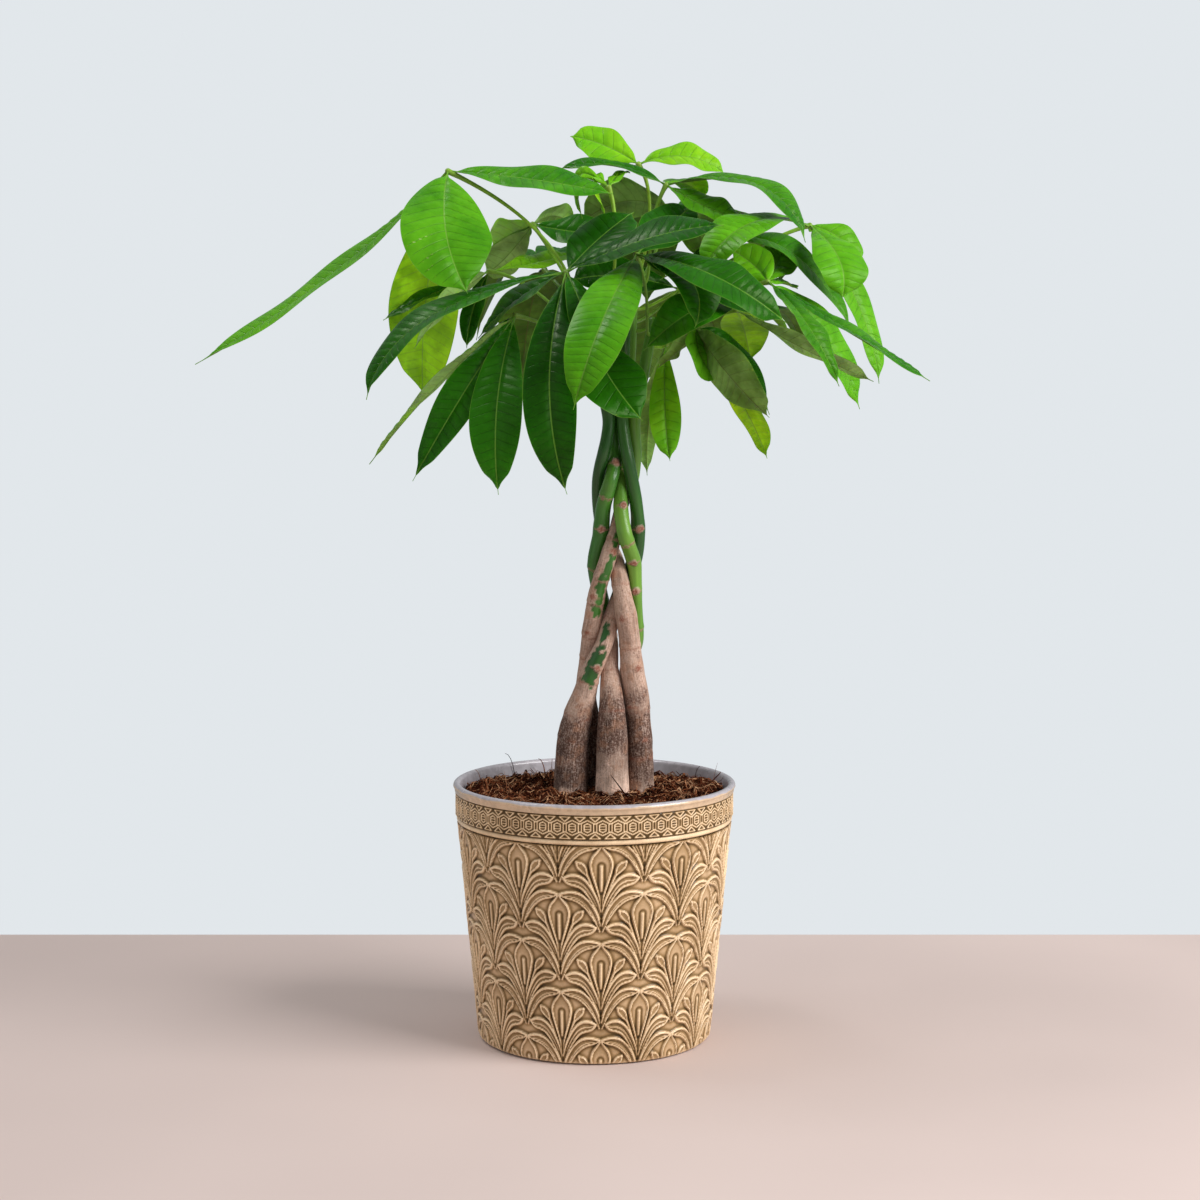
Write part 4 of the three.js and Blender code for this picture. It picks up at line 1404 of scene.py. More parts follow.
@dataclass
class Skin:
    """Places on a stem's skin, in rings of points on its line, and what marks it there.

    Lengths are in millimetres. Noise is read in two ways: drawn, whose places are drawn together
    along the stem so that it makes fibres, and patchy, as if every ring had one radius.
    """

    centre: Array
    radius: Array
    columns: int
    seed: int
    draw: float = 12
    patch_radius: float = 6
    wander: float = 5
    soft: float = 3
    scar_high: float = 1.7
    scar_wide: float = 1.8
    scar_fray: float = 0.22
    line_half: float = 0.45
    joint_half: float = 0.5
    foot_low: float = 154
    foot_high: float = 168

    def __post_init__(self) -> None:
        """Works out the places and the two borders: one that wanders, and one that frays."""
        angle = np.arange(self.columns) * TAU / self.columns
        self.z = self.centre[:, 2][:, None]
        self.around = np.stack([np.cos(angle) + 0 * self.z, np.sin(angle) + 0 * self.z], -1)
        high = (self.z + 0 * angle)[..., None]
        self.drawn = np.concatenate([self.around * self.radius[:, None, None], high / self.draw], -1)
        self.patchy = np.concatenate([self.around * self.patch_radius, high], -1)
        self.border = self.z + self.wander * self.patches(17, 0)
        self.fringe = 1.1 * self.patches(6, 6) + 0.8 * self.patches(2.8, 7)

    def patches(self, size: float, turn: int) -> Array:
        """Noise in patches of a size; turn tells one noise from another."""
        return waves(self.patchy, size, self.seed + turn)

    def aside(self, azimuth: float) -> Array:
        """Distance along the skin from the line at an azimuth.

        Args:
            azimuth: degrees, 0 at the front and 90 at the right.

        Returns:
            The distances.
        """
        heading = math.radians(azimuth)
        towards = self.around @ np.array([math.sin(heading), -math.cos(heading)])
        return np.arccos(np.clip(towards, -1, 1)) * self.radius[:, None]

    def greens(self, look: StemLook) -> tuple[Array, Array]:
        """Where the skin is green: above a wandering border, and in frayed patches below it.

        Args:
            look: how the stem is coloured.

        Returns:
            Share of green, and share of green above the border alone.
        """
        fresh = smooth_step(look.green_from - self.soft, look.green_from + self.soft, self.border)
        green = fresh
        for low, high, azimuth, half in look.patches:
            inside = np.minimum(self.z - low, high - self.z) * 0.6 + self.fringe
            beside = half - self.aside(azimuth) + self.fringe
            green = np.maximum(green, smooth_step(0, 0.7, np.minimum(inside, beside)))
        return green, fresh

    def marks(self, look: StemLook) -> tuple[Array, Array, Array]:
        """Scars and joint lines. A scar is a round dent in a low swelling, on a line that goes part of
        the way round; a joint is a line round the stem under a low swelling.

        Args:
            look: how the stem is coloured.

        Returns:
            Share of scar, share of the pale skin round it, and how far the skin swells.
        """
        scar, pale, swell = (np.zeros(self.around.shape[:2]) for _ in range(3))
        for height, azimuth in look.scars:
            rise, beside = self.z - height, self.aside(azimuth)
            off = np.hypot(rise / self.scar_high, beside / self.scar_wide) + self.scar_fray * self.fringe
            ring = np.exp(-(((rise + 0.4) / self.line_half) ** 2)) * smooth_step(6, 3, beside)
            scar = np.maximum(scar, np.maximum(smooth_step(1.25, 0.75, off), 0.6 * ring))
            pale = np.maximum(pale, smooth_step(1.7, 1.2, off))
            swell = swell + 0.45 * smooth_step(1.5, 0.9, off) - 0.4 * smooth_step(0.7, 0.2, off)
            swell = swell + 0.2 * ring + 0.35 * np.exp(-((rise / 5) ** 2))
        for height in look.joints:
            line = np.exp(-(((self.z - height + 0.5 * self.fringe) / self.joint_half) ** 2))
            scar = np.maximum(scar, 0.62 * line)
            swell = swell + 0.3 * np.exp(-(((self.z - height - 1.2) / 1.6) ** 2)) - 0.25 * line
        return scar, pale, swell

    def grain(self, green: Array, depth: float) -> Array:
        """Fibre ridges, which fade where the skin is green and higher up, and lumps.

        Args:
            green: share of green skin.
            depth: depth of the fibres low down.

        Returns:
            How far the skin stands out.
        """
        fibres = waves(self.drawn, 1.5, self.seed + 1, 12) * 0.5 + waves(self.drawn, 3.4, self.seed + 2) * 0.6
        lumps = self.patches(26, 3) * 0.25 + self.patches(9, 4) * 0.1
        low = smooth_step(250, 165, self.z)
        rough = depth * (1 - 0.93 * green) * (0.35 + 0.65 * low)
        return fibres * rough + lumps * (0.4 + 0.6 * low) * np.minimum(1, self.radius / 8)[:, None]

    def wear(self, look: StemLook) -> Array:
        """How worn the bark is.

        Args:
            look: how the stem is coloured.

        Returns:
            Share of old bark, share of lighter foot and 0 at each place.
        """
        old = smooth_step(look.aged_to + 18, look.aged_to - 16, self.border)
        old = old * smooth_step(look.aged_from - 26, look.aged_from + 20, self.border)
        light = smooth_step(look.aged_from + 14, look.aged_from - 22, self.border)
        light = light * smooth_step(200, 170, self.z)
        foot = smooth_step(self.foot_high, self.foot_low, (self.z + self.border) / 2)
        return np.stack([old, np.maximum(0.7 * light, 0.9 * foot), np.zeros_like(foot)], -1)


@dataclass
class Braid:
    """The five stems, braided: their lines are settled as the part settles them, so that stems that
    would press into each other are pushed apart. Lengths are in millimetres."""

    spans: int = 13
    steps: int = 2
    room: float = 1.07
    gap: float = 0.3
    rounds: int = 120
    fine_steps: int = 10
    columns: int = 44
    fibre_depth: float = 0.22

    def settle(self) -> dict[str, Array]:
        """Settles the stems: each round pushes every pair that is too close half way apart at each
        level, then evens each offset with a quarter of its upper and lower neighbours.

        Returns:
            Rows of x, y, z and radius for each stem.
        """
        lines = np.stack([spline(np.array(rows, float), self.steps) for rows in STEM_ROWS.values()])
        levels = self.spans * self.steps + 1
        radius = lines[:, :levels, 3]
        need = (radius[:, None] + radius[None]) * self.room + self.gap
        itself = np.eye(len(lines), dtype=bool)[..., None]
        offset = np.zeros((len(lines), levels, 2))
        for _ in range(self.rounds):
            centre = lines[:, :levels, :2] + offset
            apart = centre[None] - centre[:, None]
            distance = np.where(itself, 1, np.linalg.norm(apart, axis=-1))
            push = np.where(itself, 0, np.maximum(need - distance, 0) / 2 / distance)
            moved = offset - (apart * push[..., None]).sum(1)
            offset = moved.copy()
            offset[:, 1:-1] = moved[:, 1:-1] / 2 + (moved[:, :-2] + moved[:, 2:]) / 4
        tail = lines.shape[1] - levels
        fade = np.concatenate([np.ones(levels), 1 - np.arange(1, tail + 1) / tail])
        every = np.concatenate([offset, np.repeat(offset[:, -1:], tail, 1)], 1)
        lines[:, :, :2] += every * fade[:, None]
        return dict(zip(STEM_ROWS, lines))

    def stem(self, name: str, rows: Array) -> Surface:
        """One stem: rings on its line, which end in a half-round tip, grown by the skin's grain and
        marks, with the skin's colouring.

        Args:
            name: the stem's name.
            rows: its settled rows.

        Returns:
            The stem's closed surface in metres.
        """
        look = STEM_LOOKS[name]
        line = spline(rows, self.fine_steps)
        centre, radius = line[:, :3], line[:, 3]
        ends = np.array([0.35, 0.65, 0.85])
        tip = centre[-1] + unit(centre[-1] - centre[-2]) * ends[:, None] * radius[-1]
        centre = np.concatenate([centre, tip])
        radius = np.concatenate([radius, radius[-1] * np.sqrt(1 - ends**2)])
        skin = Skin(centre, radius, self.columns, int(name[-1]) * 11)
        green, fresh = skin.greens(look)
        scar, pale, swell = skin.marks(look)
        rings = upright_rings(centre, radius[:, None] + skin.grain(green, self.fibre_depth) + swell)
        green = green * (1 - 0.9 * np.maximum(pale, scar))
        tone = look.tone * (0.5 + 0.5 * fresh) + 0.12 * skin.patches(40, 5)
        colours = np.stack([green, scar, np.clip(tone, 0, 1)], -1)
        layers = {"skin": colours, "wear": skin.wear(look), "grain": skin.drawn * MM}
        return closed_bodies(rings[None] * MM, {key: values[None] for key, values in layers.items()})

    def build(self) -> dict[str, Array]:
        """Makes and dresses the stems.

        Returns:
            The settled rows of each stem.
        """
        bark = BarkFinish().build()
        lines = self.settle()
        for name, rows in lines.items():
            dress(self.stem(name, rows), f"{name}_bark", bark, Slot.BARK, name)
        return lines


# Crown


@dataclass(frozen=True)
class Blade:
    """One leaflet, in millimetres: it arches from the hub through its middle to its tip. Roll turns
    the blade about its rib and fold lifts its edges, in degrees; tone goes from 0, an old dark
    green, to 1, a young yellow-green. A lower skew puts the widest place nearer to the hub."""

    middle: tuple[float, float, float]
    tip: tuple[float, float, float]
    width: float
    roll: float
    fold: float
    tone: float
    skew: float = 1.22


@dataclass(frozen=True)
class Frond:
    """One leaf: its stalk leaves a stem at a height and reaches its hub through a bend."""

    name: str
    stem: str
    height: float
    bend: tuple[float, float, float]
    hub: tuple[float, float, float]
    blades: tuple[Blade, ...]


# Places are x, y and height in millimetres. The last two leaves fill the back of the crown.
FRONDS: tuple[Frond, ...] = (
    Frond("leaf_a", "stem_3", 446, (10, -8, 501), (-91, 0, 549), (
        Blade((-165, -6, 484), (-244, -10, 432), 28, -21, 12, 0.56),
        Blade((-90, -46, 511), (-77, -62, 474), 57, -2, 6, 0.45, 1.1),
        Blade((-39, -14, 543), (9, -24, 534), 35, 28, 12, 0.38),
        Blade((-108, 42, 476), (-110, 30, 412), 54, -6, 8, 0.77),
    )),
    Frond("leaf_b", "stem_2", 452, (-19, 40, 491), (-40, 55, 519), (
        Blade((-53, 64, 514), (-66, 68, 506), 30, 34, 14, 0.58),
        Blade((-27, 76, 526), (-15, 84, 520), 22, -40, 12, 0.52),
        Blade((-13, 48, 514), (14, 40, 512), 31, 42, 14, 0.24),
        Blade((-59, 74, 498), (-71, 78, 489), 28, 34, 14, 0.48),
    )),
    Frond("leaf_c", "stem_1", 444, (-7, -36, 466), (-17, -46, 485), (
        Blade((-98, -70, 458), (-135, -78, 412), 33, -17, 12, 0.17),
        Blade((-26, -104, 420), (-17, -98, 357), 33, 0, 14, 0.05),
        Blade((2, -32, 505), (23, -14, 522), 42, 14, 10, 0.06),
        Blade((31, -66, 504), (75, -70, 512), 40, 30, 12, 0.05),
        Blade((-6, -74, 460), (2, -78, 431), 26, 0, 14, 0.12),
        Blade((-45, -36, 470), (-70, -28, 447), 34, -30, 14, 0.1),
    )),
    Frond("leaf_d", "stem_4", 448, (36, -22, 474), (26, -34, 496), (
        Blade((5, -112, 455), (-11, -126, 407), 37, -10, 8, 0.45, 0.95),
        Blade((67, -96, 483), (111, -92, 456), 36, 24, 12, 0.24),
        Blade((57, -78, 480), (60, -94, 453), 36, 0, 14, 0.18, 0.9),
        Blade((43, -12, 512), (61, 12, 528), 34, 30, 14, 0.16),
        Blade((69, -52, 475), (109, -50, 458), 30, 24, 14, 0.05),
    )),
    Frond("leaf_e", "stem_4", 454, (70, 0, 472), (107, -20, 480), (
        Blade((154, -46, 450), (203, -38, 421), 24, 12, 14, 0.33),
        Blade((127, -64, 455), (146, -70, 419), 23, -8, 14, 0.38),
        Blade((143, -2, 448), (167, 10, 404), 36, 58, 12, 0.5),
        Blade((118, 2, 480), (128, 14, 477), 14, 20, 14, 0.6),
        Blade((100, -8, 490), (86, -6, 500), 28, -50, 10, 0.62),
        Blade((115, 10, 493), (120, 16, 502), 26, 30, 10, 0.6),
    )),
    Frond("leaf_f", "stem_5", 464, (99, 22, 507), (137, 30, 517), (
        Blade((156, 28, 509), (168, 26, 493), 25, 40, 14, 0.55),
        Blade((152, -8, 495), (154, -14, 471), 37, 0, 8, 0.5),
        Blade((168, 36, 470), (182, 30, 420), 26, 40, 10, 0.52),
        Blade((95, -34, 515), (66, -50, 486), 36, -14, 12, 0.5),
        Blade((150, 58, 514), (160, 80, 506), 24, 0, 14, 0.6),
    )),
    Frond("leaf_g", "stem_5", 479, (30, 12, 515), (45, 8, 541), (
        Blade((100, -14, 540), (129, -24, 507), 32, 13, 12, 0.4),
        Blade((69, -6, 527), (92, -10, 518), 26, 30, 14, 0.52),
        Blade((12, 5, 553), (-21, 6, 551), 20, -20, 14, 0.22),
        Blade((57, 42, 545), (71, 66, 537), 26, 0, 14, 0.62),
    )),
    Frond("leaf_h", "stem_5", 481, (44, 30, 534), (28, 24, 555), (
        Blade((7, 30, 567), (-14, 32, 573), 28, -52, 10, 0.66),
        Blade((57, 24, 560), (82, 30, 550), 27, 38, 14, 0.7),
    )),
    Frond("leaf_i", "stem_1", 447, (20, -8, 511), (9, -12, 538), (
        Blade((-9, -6, 546), (-8, -3, 522), 12, -50, 14, 0.62),
        Blade((1, -8, 543), (7, -11, 521), 15, -20, 14, 0.62),
        Blade((15, 0, 546), (21, 10, 549), 12, 0, 14, 0.66),
    )),
    Frond("leaf_j", "stem_2", 458, (37, 40, 494), (50, 48, 526), (
        Blade((22, 62, 535), (-7, 66, 522), 42, 38, 10, 0.42),
        Blade((65, 104, 528), (75, 140, 498), 40, 0, 14, 0.3),
        Blade((38, 112, 517), (36, 140, 472), 44, 0, 14, 0.15),
        Blade((84, 88, 529), (117, 116, 497), 38, 10, 14, 0.25),
    )),
    Frond("leaf_k", "stem_3", 440, (-24, -26, 455), (-48, -38, 459), (
        Blade((-91, -48, 422), (-135, -44, 372), 22, 14, 14, 0.55),
        Blade((-75, -76, 417), (-106, -86, 364), 27, -30, 14, 0.2),
        Blade((-57, -90, 409), (-57, -92, 356), 33, 0, 12, 0.25),
        Blade((-73, -24, 438), (-100, -16, 401), 28, -14, 14, 0.3),
    )),
    Frond("leaf_l", "stem_1", 436, (3, -22, 438), (-1, -30, 446), (
        Blade((8, -50, 424), (28, -60, 397), 45, 24, 10, 0.2),
        Blade((-12, -38, 432), (-23, -38, 409), 28, -10, 14, 0.15),
    )),
    Frond("leaf_m", "stem_4", 440, (40, 6, 438), (45, 7, 442), (
        Blade((44, -14, 403), (47, -18, 371), 21, 6, 14, 0.64),
        Blade((36, 42, 400), (34, 40, 360), 15, 0, 14, 0.42),
    )),
    Frond("leaf_n", "stem_4", 444, (48, -12, 444), (63, -24, 452), (
        Blade((79, -52, 427), (105, -48, 399), 38, -64, 10, 0.36),
        Blade((87, -24, 436), (108, -16, 401), 24, 40, 14, 0.2),
        Blade((93, 14, 407), (110, 24, 371), 24, 0, 12, 0.82),
        Blade((54, -36, 441), (40, -34, 428), 22, 40, 14, 0.35),
        Blade((65, -38, 436), (75, -34, 421), 30, 0, 14, 0.5),
    )),
    Frond("leaf_o", "stem_4", 450, (60, -6, 456), (88, -20, 463), (
        Blade((63, -58, 463), (32, -62, 440), 33, -30, 14, 0.34),
        Blade((128, -30, 440), (170, -26, 420), 26, -22, 14, 0.5),
        Blade((95, 24, 453), (101, 48, 432), 32, 0, 14, 0.74),
        Blade((119, 34, 464), (134, 60, 442), 32, 20, 14, 0.3),
    )),
    Frond("leaf_p", "stem_5", 450, (60, 8, 490), (88, 7, 508), (
        Blade((127, 9, 497), (162, 18, 453), 36, 30, 12, 0.38),
        Blade((112, 48, 507), (122, 72, 484), 32, 0, 14, 0.35),
        Blade((76, 60, 502), (45, 62, 485), 32, -40, 14, 0.12),
    )),
    Frond("leaf_q", "stem_3", 450, (-35, 24, 484), (-67, 28, 488), (
        Blade((-90, 10, 470), (-112, 4, 441), 26, 40, 14, 0.55),
        Blade((-35, 54, 495), (-16, 76, 501), 24, 20, 14, 0.72),
        Blade((-77, 32, 466), (-81, 20, 441), 15, -40, 10, 0.1),
        Blade((-102, 26, 474), (-132, 16, 458), 20, -20, 14, 0.1),
    )),
    Frond("leaf_r", "stem_2", 455, (-16, 60, 471), (-33, 84, 491), (
        Blade((-60, 112, 493), (-79, 118, 449), 40, -20, 14, 0.25),
        Blade((-44, 136, 465), (-51, 140, 411), 42, 0, 14, 0.12),
        Blade((-20, 136, 472), (-3, 146, 418), 42, 0, 14, 0.12),
        Blade((-26, 110, 504), (-19, 130, 504), 30, 0, 14, 0.15),
    )),
    Frond("leaf_s", "stem_5", 456, (42, 50, 464), (56, 78, 478), (
        Blade((44, 130, 459), (31, 138, 414), 40, 0, 14, 0.3),
        Blade((77, 132, 465), (89, 140, 421), 42, 0, 14, 0.35),
        Blade((96, 110, 478), (132, 118, 445), 40, 15, 14, 0.66),
        Blade((17, 64, 486), (-14, 54, 483), 36, -45, 14, 0.06),
    )),
)


@dataclass
class Crown:
    """The leaves. Lengths are in millimetres, or shares of a blade's length; keel and groove are each
    a depth and a half width."""

    neck: float = 0.05
    fullness: float = 0.62
    draw: float = 0.12
    drip: float = 0.5
    overrun: float = 1.03
    least_half: float = 0.45
    row_step: float = 1.75
    row_limits: tuple[int, int] = (22, 76)
    blade_steps: int = 8
    edge_crowding: float = 1.35
    twist: float = 5
    blade_thick: float = 0.5
    neck_thick: float = 1.7
    vein_slant: float = 0.45
    vein_spacing: float = 7.0
    quilt: float = 0.95
    edge_wave: float = 1.1
    edge_turns: tuple[float, float] = (1.6, 2.6)
    camber: float = 0.1
    keel: tuple[float, float] = (0.75, 0.75)
    groove: tuple[float, float] = (0.18, 1.2)
    tone_drift: float = 0.05
    stub: float = 1.5
    stalk_sunk: float = 1.2
    stalk_start: float = 9
    stalk_seat: float = 0.4
    stalk_radius: float = 1.0
    stalk_swell: float = 0.6
    stalk_rows: int = 40
    stalk_sides: int = 10
    hub_radius: float = 2.0

    def half_share(self, t: Array, skew: float) -> Array:
        """Share of a blade's half width: sin(pi u^skew)^fullness, slim at the hub, and drawn in
        further over the last tenth to a drip tip.

        Args:
            t: share of the blade's length.
            skew: the blade's skew.

        Returns:
            The share, of the shape of t.
        """
        u = np.clip((t - self.neck) / (1 - self.neck), 0, 1)
        body = np.sin(np.pi * u**skew).clip(0) ** self.fullness * (1 - self.draw * u**4)
        return body * (1 - self.drip * smooth_step(0.9, 0.985, t))

    def rib(self, hub: Array, leaflet: Blade, twist: float) -> tuple[Array, Array, Array, Array]:
        """A leaflet's rib, the parabola from the hub through the middle to the tip, and how the blade
        lies on it: level across, then turned by roll and by a twist that grows along the rib.

        Args:
            hub: where the leaflet starts.
            leaflet: its sizes.
            twist: degrees from one end to the other.

        Returns:
            Shares of its length, shape (rows, 1), its points, and the ways across and up from the
            blade, each of shape (rows, 3).
        """
        middle, tip = np.array(leaflet.middle, float), np.array(leaflet.tip, float)
        pull = 2 * middle - (hub + tip) / 2
        length = np.linalg.norm(middle - hub) + np.linalg.norm(tip - middle)
        rows = int(np.clip(length / self.row_step, *self.row_limits))
        t = np.linspace(0, self.overrun, rows)[:, None]
        points = (1 - t) ** 2 * hub + 2 * t * (1 - t) * pull + t**2 * tip
        along = unit((1 - t) * (pull - hub) + t * (tip - pull))
        level = np.cross(unit((tip - hub) * (1, 1, 0)), (0, 0, 1))
        flat = unit(level - along * (along @ level)[:, None])
        across = turned(flat, along, np.radians(leaflet.roll + twist * (t[:, 0] - 0.4)))
        return t, points, across, np.cross(across, along)

    def blade(self, hub: Array, leaflet: Blade, seed: int) -> Surface:
        """One leaflet as a thin closed skin on its rib.

        Its faces rise to the edges by fold and droop again by camber, bulge between the side
        veins, and wave along the edges. The upper face has a groove and the lower one a keel on
        the rib, and the blade thickens towards the hub.

        Args:
            hub: where the leaflet starts.
            leaflet: its sizes.
            seed: seed of its waves.

        Returns:
            The closed surface in metres.
        """
        rng = np.random.default_rng(seed)
        t, rib, across, up = self.rib(hub, leaflet, rng.normal(0, self.twist))
        length = np.linalg.norm(np.diff(rib, axis=0), axis=1).sum()
        share = self.half_share(t, leaflet.skew)
        broad = smooth_step(0.04, 0.25, share)
        half = np.maximum(leaflet.width / 2 * share, self.least_half * (1.1 - 0.7 * t))
        u = np.linspace(-1, 1, 2 * self.blade_steps + 1)
        side = np.sign(u) * np.abs(u) ** self.edge_crowding
        s = np.concatenate([side[::-1], side])[None]
        face = np.repeat([1.0, 0.0], len(u))[None]
        reach = s * half
        count = (t * length - np.abs(reach) * self.vein_slant + rng.uniform(0, 9)) / self.vein_spacing
        bulge = np.abs(np.sin(np.pi * count)) * (1 - s**4) * smooth_step(0.02, 0.22, np.abs(s)) * broad
        phase = rng.uniform(0, TAU, 2)
        wave = np.sin(TAU * (t * rng.uniform(*self.edge_turns) + s * 0.12) + np.where(s > 0, *phase))
        fold = math.radians(leaflet.fold)
        rise = np.abs(reach) * math.sin(fold) - self.camber * half * s**2 + self.quilt * bulge
        rise = rise + self.edge_wave * wave * s**2 * broad
        neck = 1 - smooth_step(0.0, 0.08, t)
        thick = self.blade_thick + (self.neck_thick - self.blade_thick) * neck
        thick = thick * (1 - 0.7 * s**2 * (1 - neck))
        keel, groove = (deep * np.exp(-((reach / wide) ** 2)) * broad
                        for deep, wide in (self.keel, self.groove))
        rise = rise + thick * (0.5 - face) - keel * (1 - 0.8 * t) * face - groove * (1 - face)
        points = rib[:, None] + across[:, None] * (reach * math.cos(fold))[..., None]
        points = points + up[:, None] * rise[..., None]
        edge = half * (1 - np.abs(s))
        tone = leaflet.tone + self.tone_drift * waves(points, 60, seed)
        shade = np.full(reach.shape, rng.normal(0, 0.5))
        tint = np.stack([tone, np.broadcast_to(face, reach.shape), shade], -1)
        blade = np.stack([reach, edge, count], -1)
        return closed_bodies(points[None] * MM, {"blade": blade[None], "tint": tint[None]})

    def stalk(self, frond: Frond, rows: Array, tone: float) -> Surface:
        """A leaf's stalk: a round bar on the cubic Bezier curve from its stem through the bend to the
        hub, swollen at both ends, with the hub's knob on it.

        Args:
            frond: the leaf.
            rows: its stem's settled rows.
            tone: the stalk's green.

        Returns:
            The closed surface in metres.
        """
        x, y, radius = (np.interp(frond.height, rows[:, 2], rows[:, k]) for k in (0, 1, 3))
        hub = np.array(frond.hub, float)
        out = unit(np.array([hub[0] - x, hub[1] - y, 0]))
        root = np.array([x, y, frond.height]) + out * (radius + self.stalk_seat - self.stalk_sunk)
        stub = root + out * (self.stub + self.stalk_sunk)
        poles = np.stack([stub, stub + out * self.stalk_start, np.array(frond.bend, float), hub])
        t = np.linspace(0, 1, self.stalk_rows)[:, None]
        weights = np.concatenate([(1 - t) ** 3, 3 * t * (1 - t) ** 2, 3 * t**2 * (1 - t), t**3], 1)
        path = np.concatenate([root[None], weights @ poles])
        share = np.concatenate([[0], (t[:, 0] * 6 + 1) / 7])
        thick = self.stalk_radius + self.stalk_swell * (2 * share - 1) ** 4
        thick = np.maximum(thick, self.hub_radius * np.exp(-(((share - 1) * 22) ** 2)))
        over = np.array([0.25, 0.5, 0.75, 1.0])
        knob = path[-1] + unit(path[-1] - path[-2]) * (over * self.hub_radius)[:, None]
        path = np.concatenate([path, knob])
        thick = np.concatenate([thick, self.hub_radius * np.sqrt(1.02 - over**2)])
        end = np.concatenate([np.abs(2 * share - 1) ** 9, np.ones(len(over))])
        rings = tube_rings(path[None] * MM, thick[None] * MM, self.stalk_sides)
        tint = np.stack([np.full(len(thick), tone), end, np.zeros(len(thick))], -1)
        return closed_bodies(rings, {"tint": np.repeat(tint[None, :, None], self.stalk_sides, 2)})

    def build(self, lines: dict[str, Array]) -> None:
        """Makes and dresses each leaf: its blades as one piece, its stalk as another.

        Args:
            lines: settled rows of each stem.
        """
        skin = LeafFinish().build()
        bar = StalkFinish().build()
        for number, frond in enumerate(FRONDS):
            hub = np.array(frond.hub, float)
            blades = [self.blade(hub, blade, 100 * number + k) for k, blade in enumerate(frond.blades)]
            dress(Surface.join(blades), f"{frond.name}_blades", skin, Slot.LEAF, frond.name)
            tone = float(np.mean([blade.tone for blade in frond.blades]))
            dress(self.stalk(frond, lines[frond.stem], tone), f"{frond.name}_stalk", bar, Slot.LEAF)


# Studio


@dataclass
class PhotoCamera:
    """The camera, where the photograph was taken from: metres, and radians down from level."""

    place: tuple[float, float, float] = (0.00362, -1.534, 0.4376)
    down: float = 0.102
    focal_px: float = 2432
    image_px: float = 1200
    sensor_mm: float = 36

    def build(self) -> None:
        """Makes the camera and gives it to the scene."""
        camera = bpy.data.cameras.new("photo_camera")
        camera.sensor_width = self.sensor_mm
        camera.lens = self.focal_px / self.image_px * self.sensor_mm
        made = bpy.data.objects.new("photo_camera", camera)
        made.location = self.place
        made.rotation_euler = (math.pi / 2 - self.down, 0, 0)
        bpy.context.scene.collection.objects.link(made)
        bpy.context.scene.camera = made


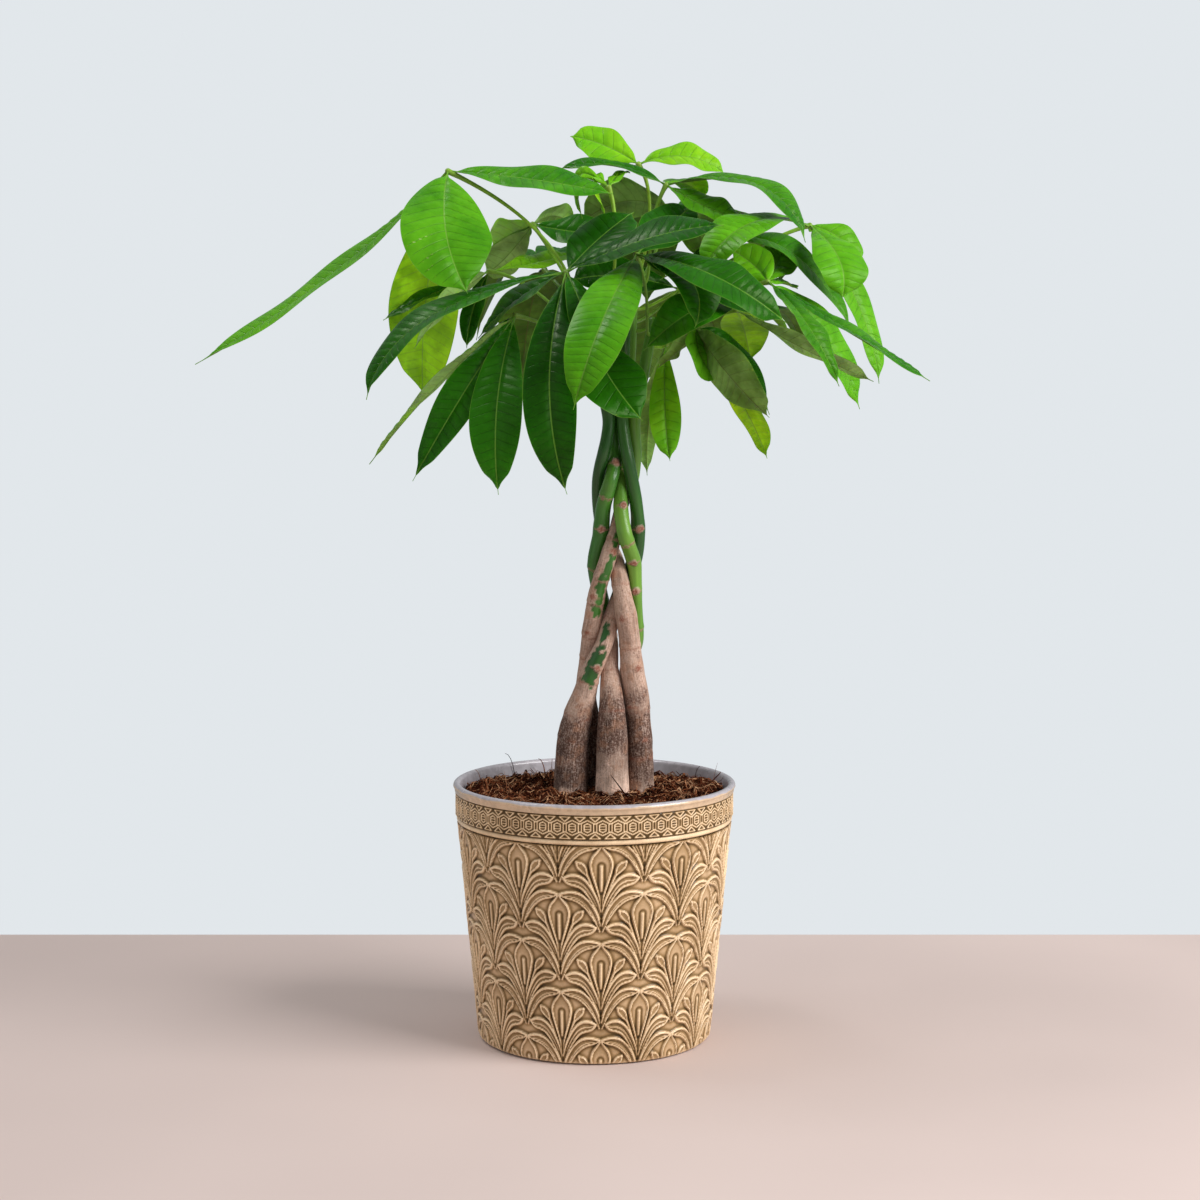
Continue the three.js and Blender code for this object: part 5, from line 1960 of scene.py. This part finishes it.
@dataclass
class Studio:
    """A plain pale table top, a pale backdrop, and soft light from the right, the front and above.
    Lengths are in metres; the lamps face the middle of the plant."""

    aim: tuple[float, float, float] = (0.0, 0.0, 0.3)
    floor_half: float = 1.6
    floor_back: float = 0.264
    floor_thick: float = 0.02
    floor_colour: Colour = (0.685, 0.555, 0.510)
    sky_colour: Colour = (0.76, 0.80, 0.83)
    sky_strength: float = 0.42
    key_place: tuple[float, float, float] = (1.5, -0.75, 1.25)
    key_watts: float = 43
    key_size: float = 1.3
    fill_place: tuple[float, float, float] = (-1.3, -1.3, 0.9)
    fill_watts: float = 3.5
    fill_size: float = 1.6
    top_place: tuple[float, float, float] = (-0.5, 0.12, 1.4)
    top_watts: float = 4.5
    top_size: float = 0.4

    def light(self, name: str, place: tuple[float, float, float], watts: float, size: float) -> None:
        """A square area light.

        Args:
            name: the light's name.
            place: where it stands.
            watts: its power.
            size: its side.
        """
        lamp = bpy.data.lights.new(name, "AREA")
        lamp.energy, lamp.size = watts, size
        made = bpy.data.objects.new(name, lamp)
        made.location = place
        way = unit(np.array(self.aim) - np.array(place))
        made.rotation_euler = (math.acos(-way[2]), 0, math.atan2(-way[0], way[1]))
        bpy.context.scene.collection.objects.link(made)

    def floor(self) -> None:
        """The table top: a slab whose back edge lies behind the pot."""
        low = np.array([-self.floor_half, self.floor_back - 2 * self.floor_half, -self.floor_thick])
        high = np.array([self.floor_half, self.floor_back, 0.0])
        corners = np.stack(np.meshgrid(*zip(low, high), indexing="ij"), -1).reshape(-1, 3)
        quads = np.array([[0, 1, 3, 2], [4, 6, 7, 5], [0, 4, 5, 1], [2, 3, 7, 6], [0, 2, 6, 4], [1, 5, 7, 3]])
        slab = Surface(corners, quads, np.zeros((0, 3), int)).to_object("table_top")
        nodes = Nodes("table_matt", Roughness=0.75, Specular_IOR_Level=0.25)
        cloud = nodes.noise(nodes.place(), 3, 2)
        colour = nodes.scaled(self.floor_colour, nodes.vary(cloud, 0.97, 1.03))
        slab.data.materials.append(nodes.finish(colour))

    def sky(self) -> None:
        """The backdrop: even and pale to the camera, and dimmer as a light."""
        world = bpy.data.worlds.new("backdrop")
        bpy.context.scene.world = world
        world.use_nodes = True
        tree = world.node_tree
        back = tree.nodes["Background"]
        back.inputs["Color"].default_value = (*self.sky_colour, 1)
        seen = tree.nodes.new("ShaderNodeLightPath").outputs["Is Camera Ray"]
        strength = tree.nodes.new("ShaderNodeMapRange")
        strength.inputs["To Min"].default_value = self.sky_strength
        strength.inputs["To Max"].default_value = 1
        tree.links.new(seen, strength.inputs["Value"])
        tree.links.new(strength.outputs[0], back.inputs["Strength"])

    def build(self) -> None:
        """Makes the floor, the backdrop and the lights."""
        bpy.context.scene.view_settings.view_transform = "Standard"
        self.floor()
        self.sky()
        self.light("key_light", self.key_place, self.key_watts, self.key_size)
        self.light("fill_light", self.fill_place, self.fill_watts, self.fill_size)
        self.light("top_light", self.top_place, self.top_watts, self.top_size)


def main() -> None:
    """Builds the camera, the studio and the plant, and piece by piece."""
    PhotoCamera().build()
    Studio().build()
    pot = Pot()
    pot.build()
    Soil().build(pot)
    lines = Braid().build()
    Crown().build(lines)


if __name__ == "__main__":
    main()
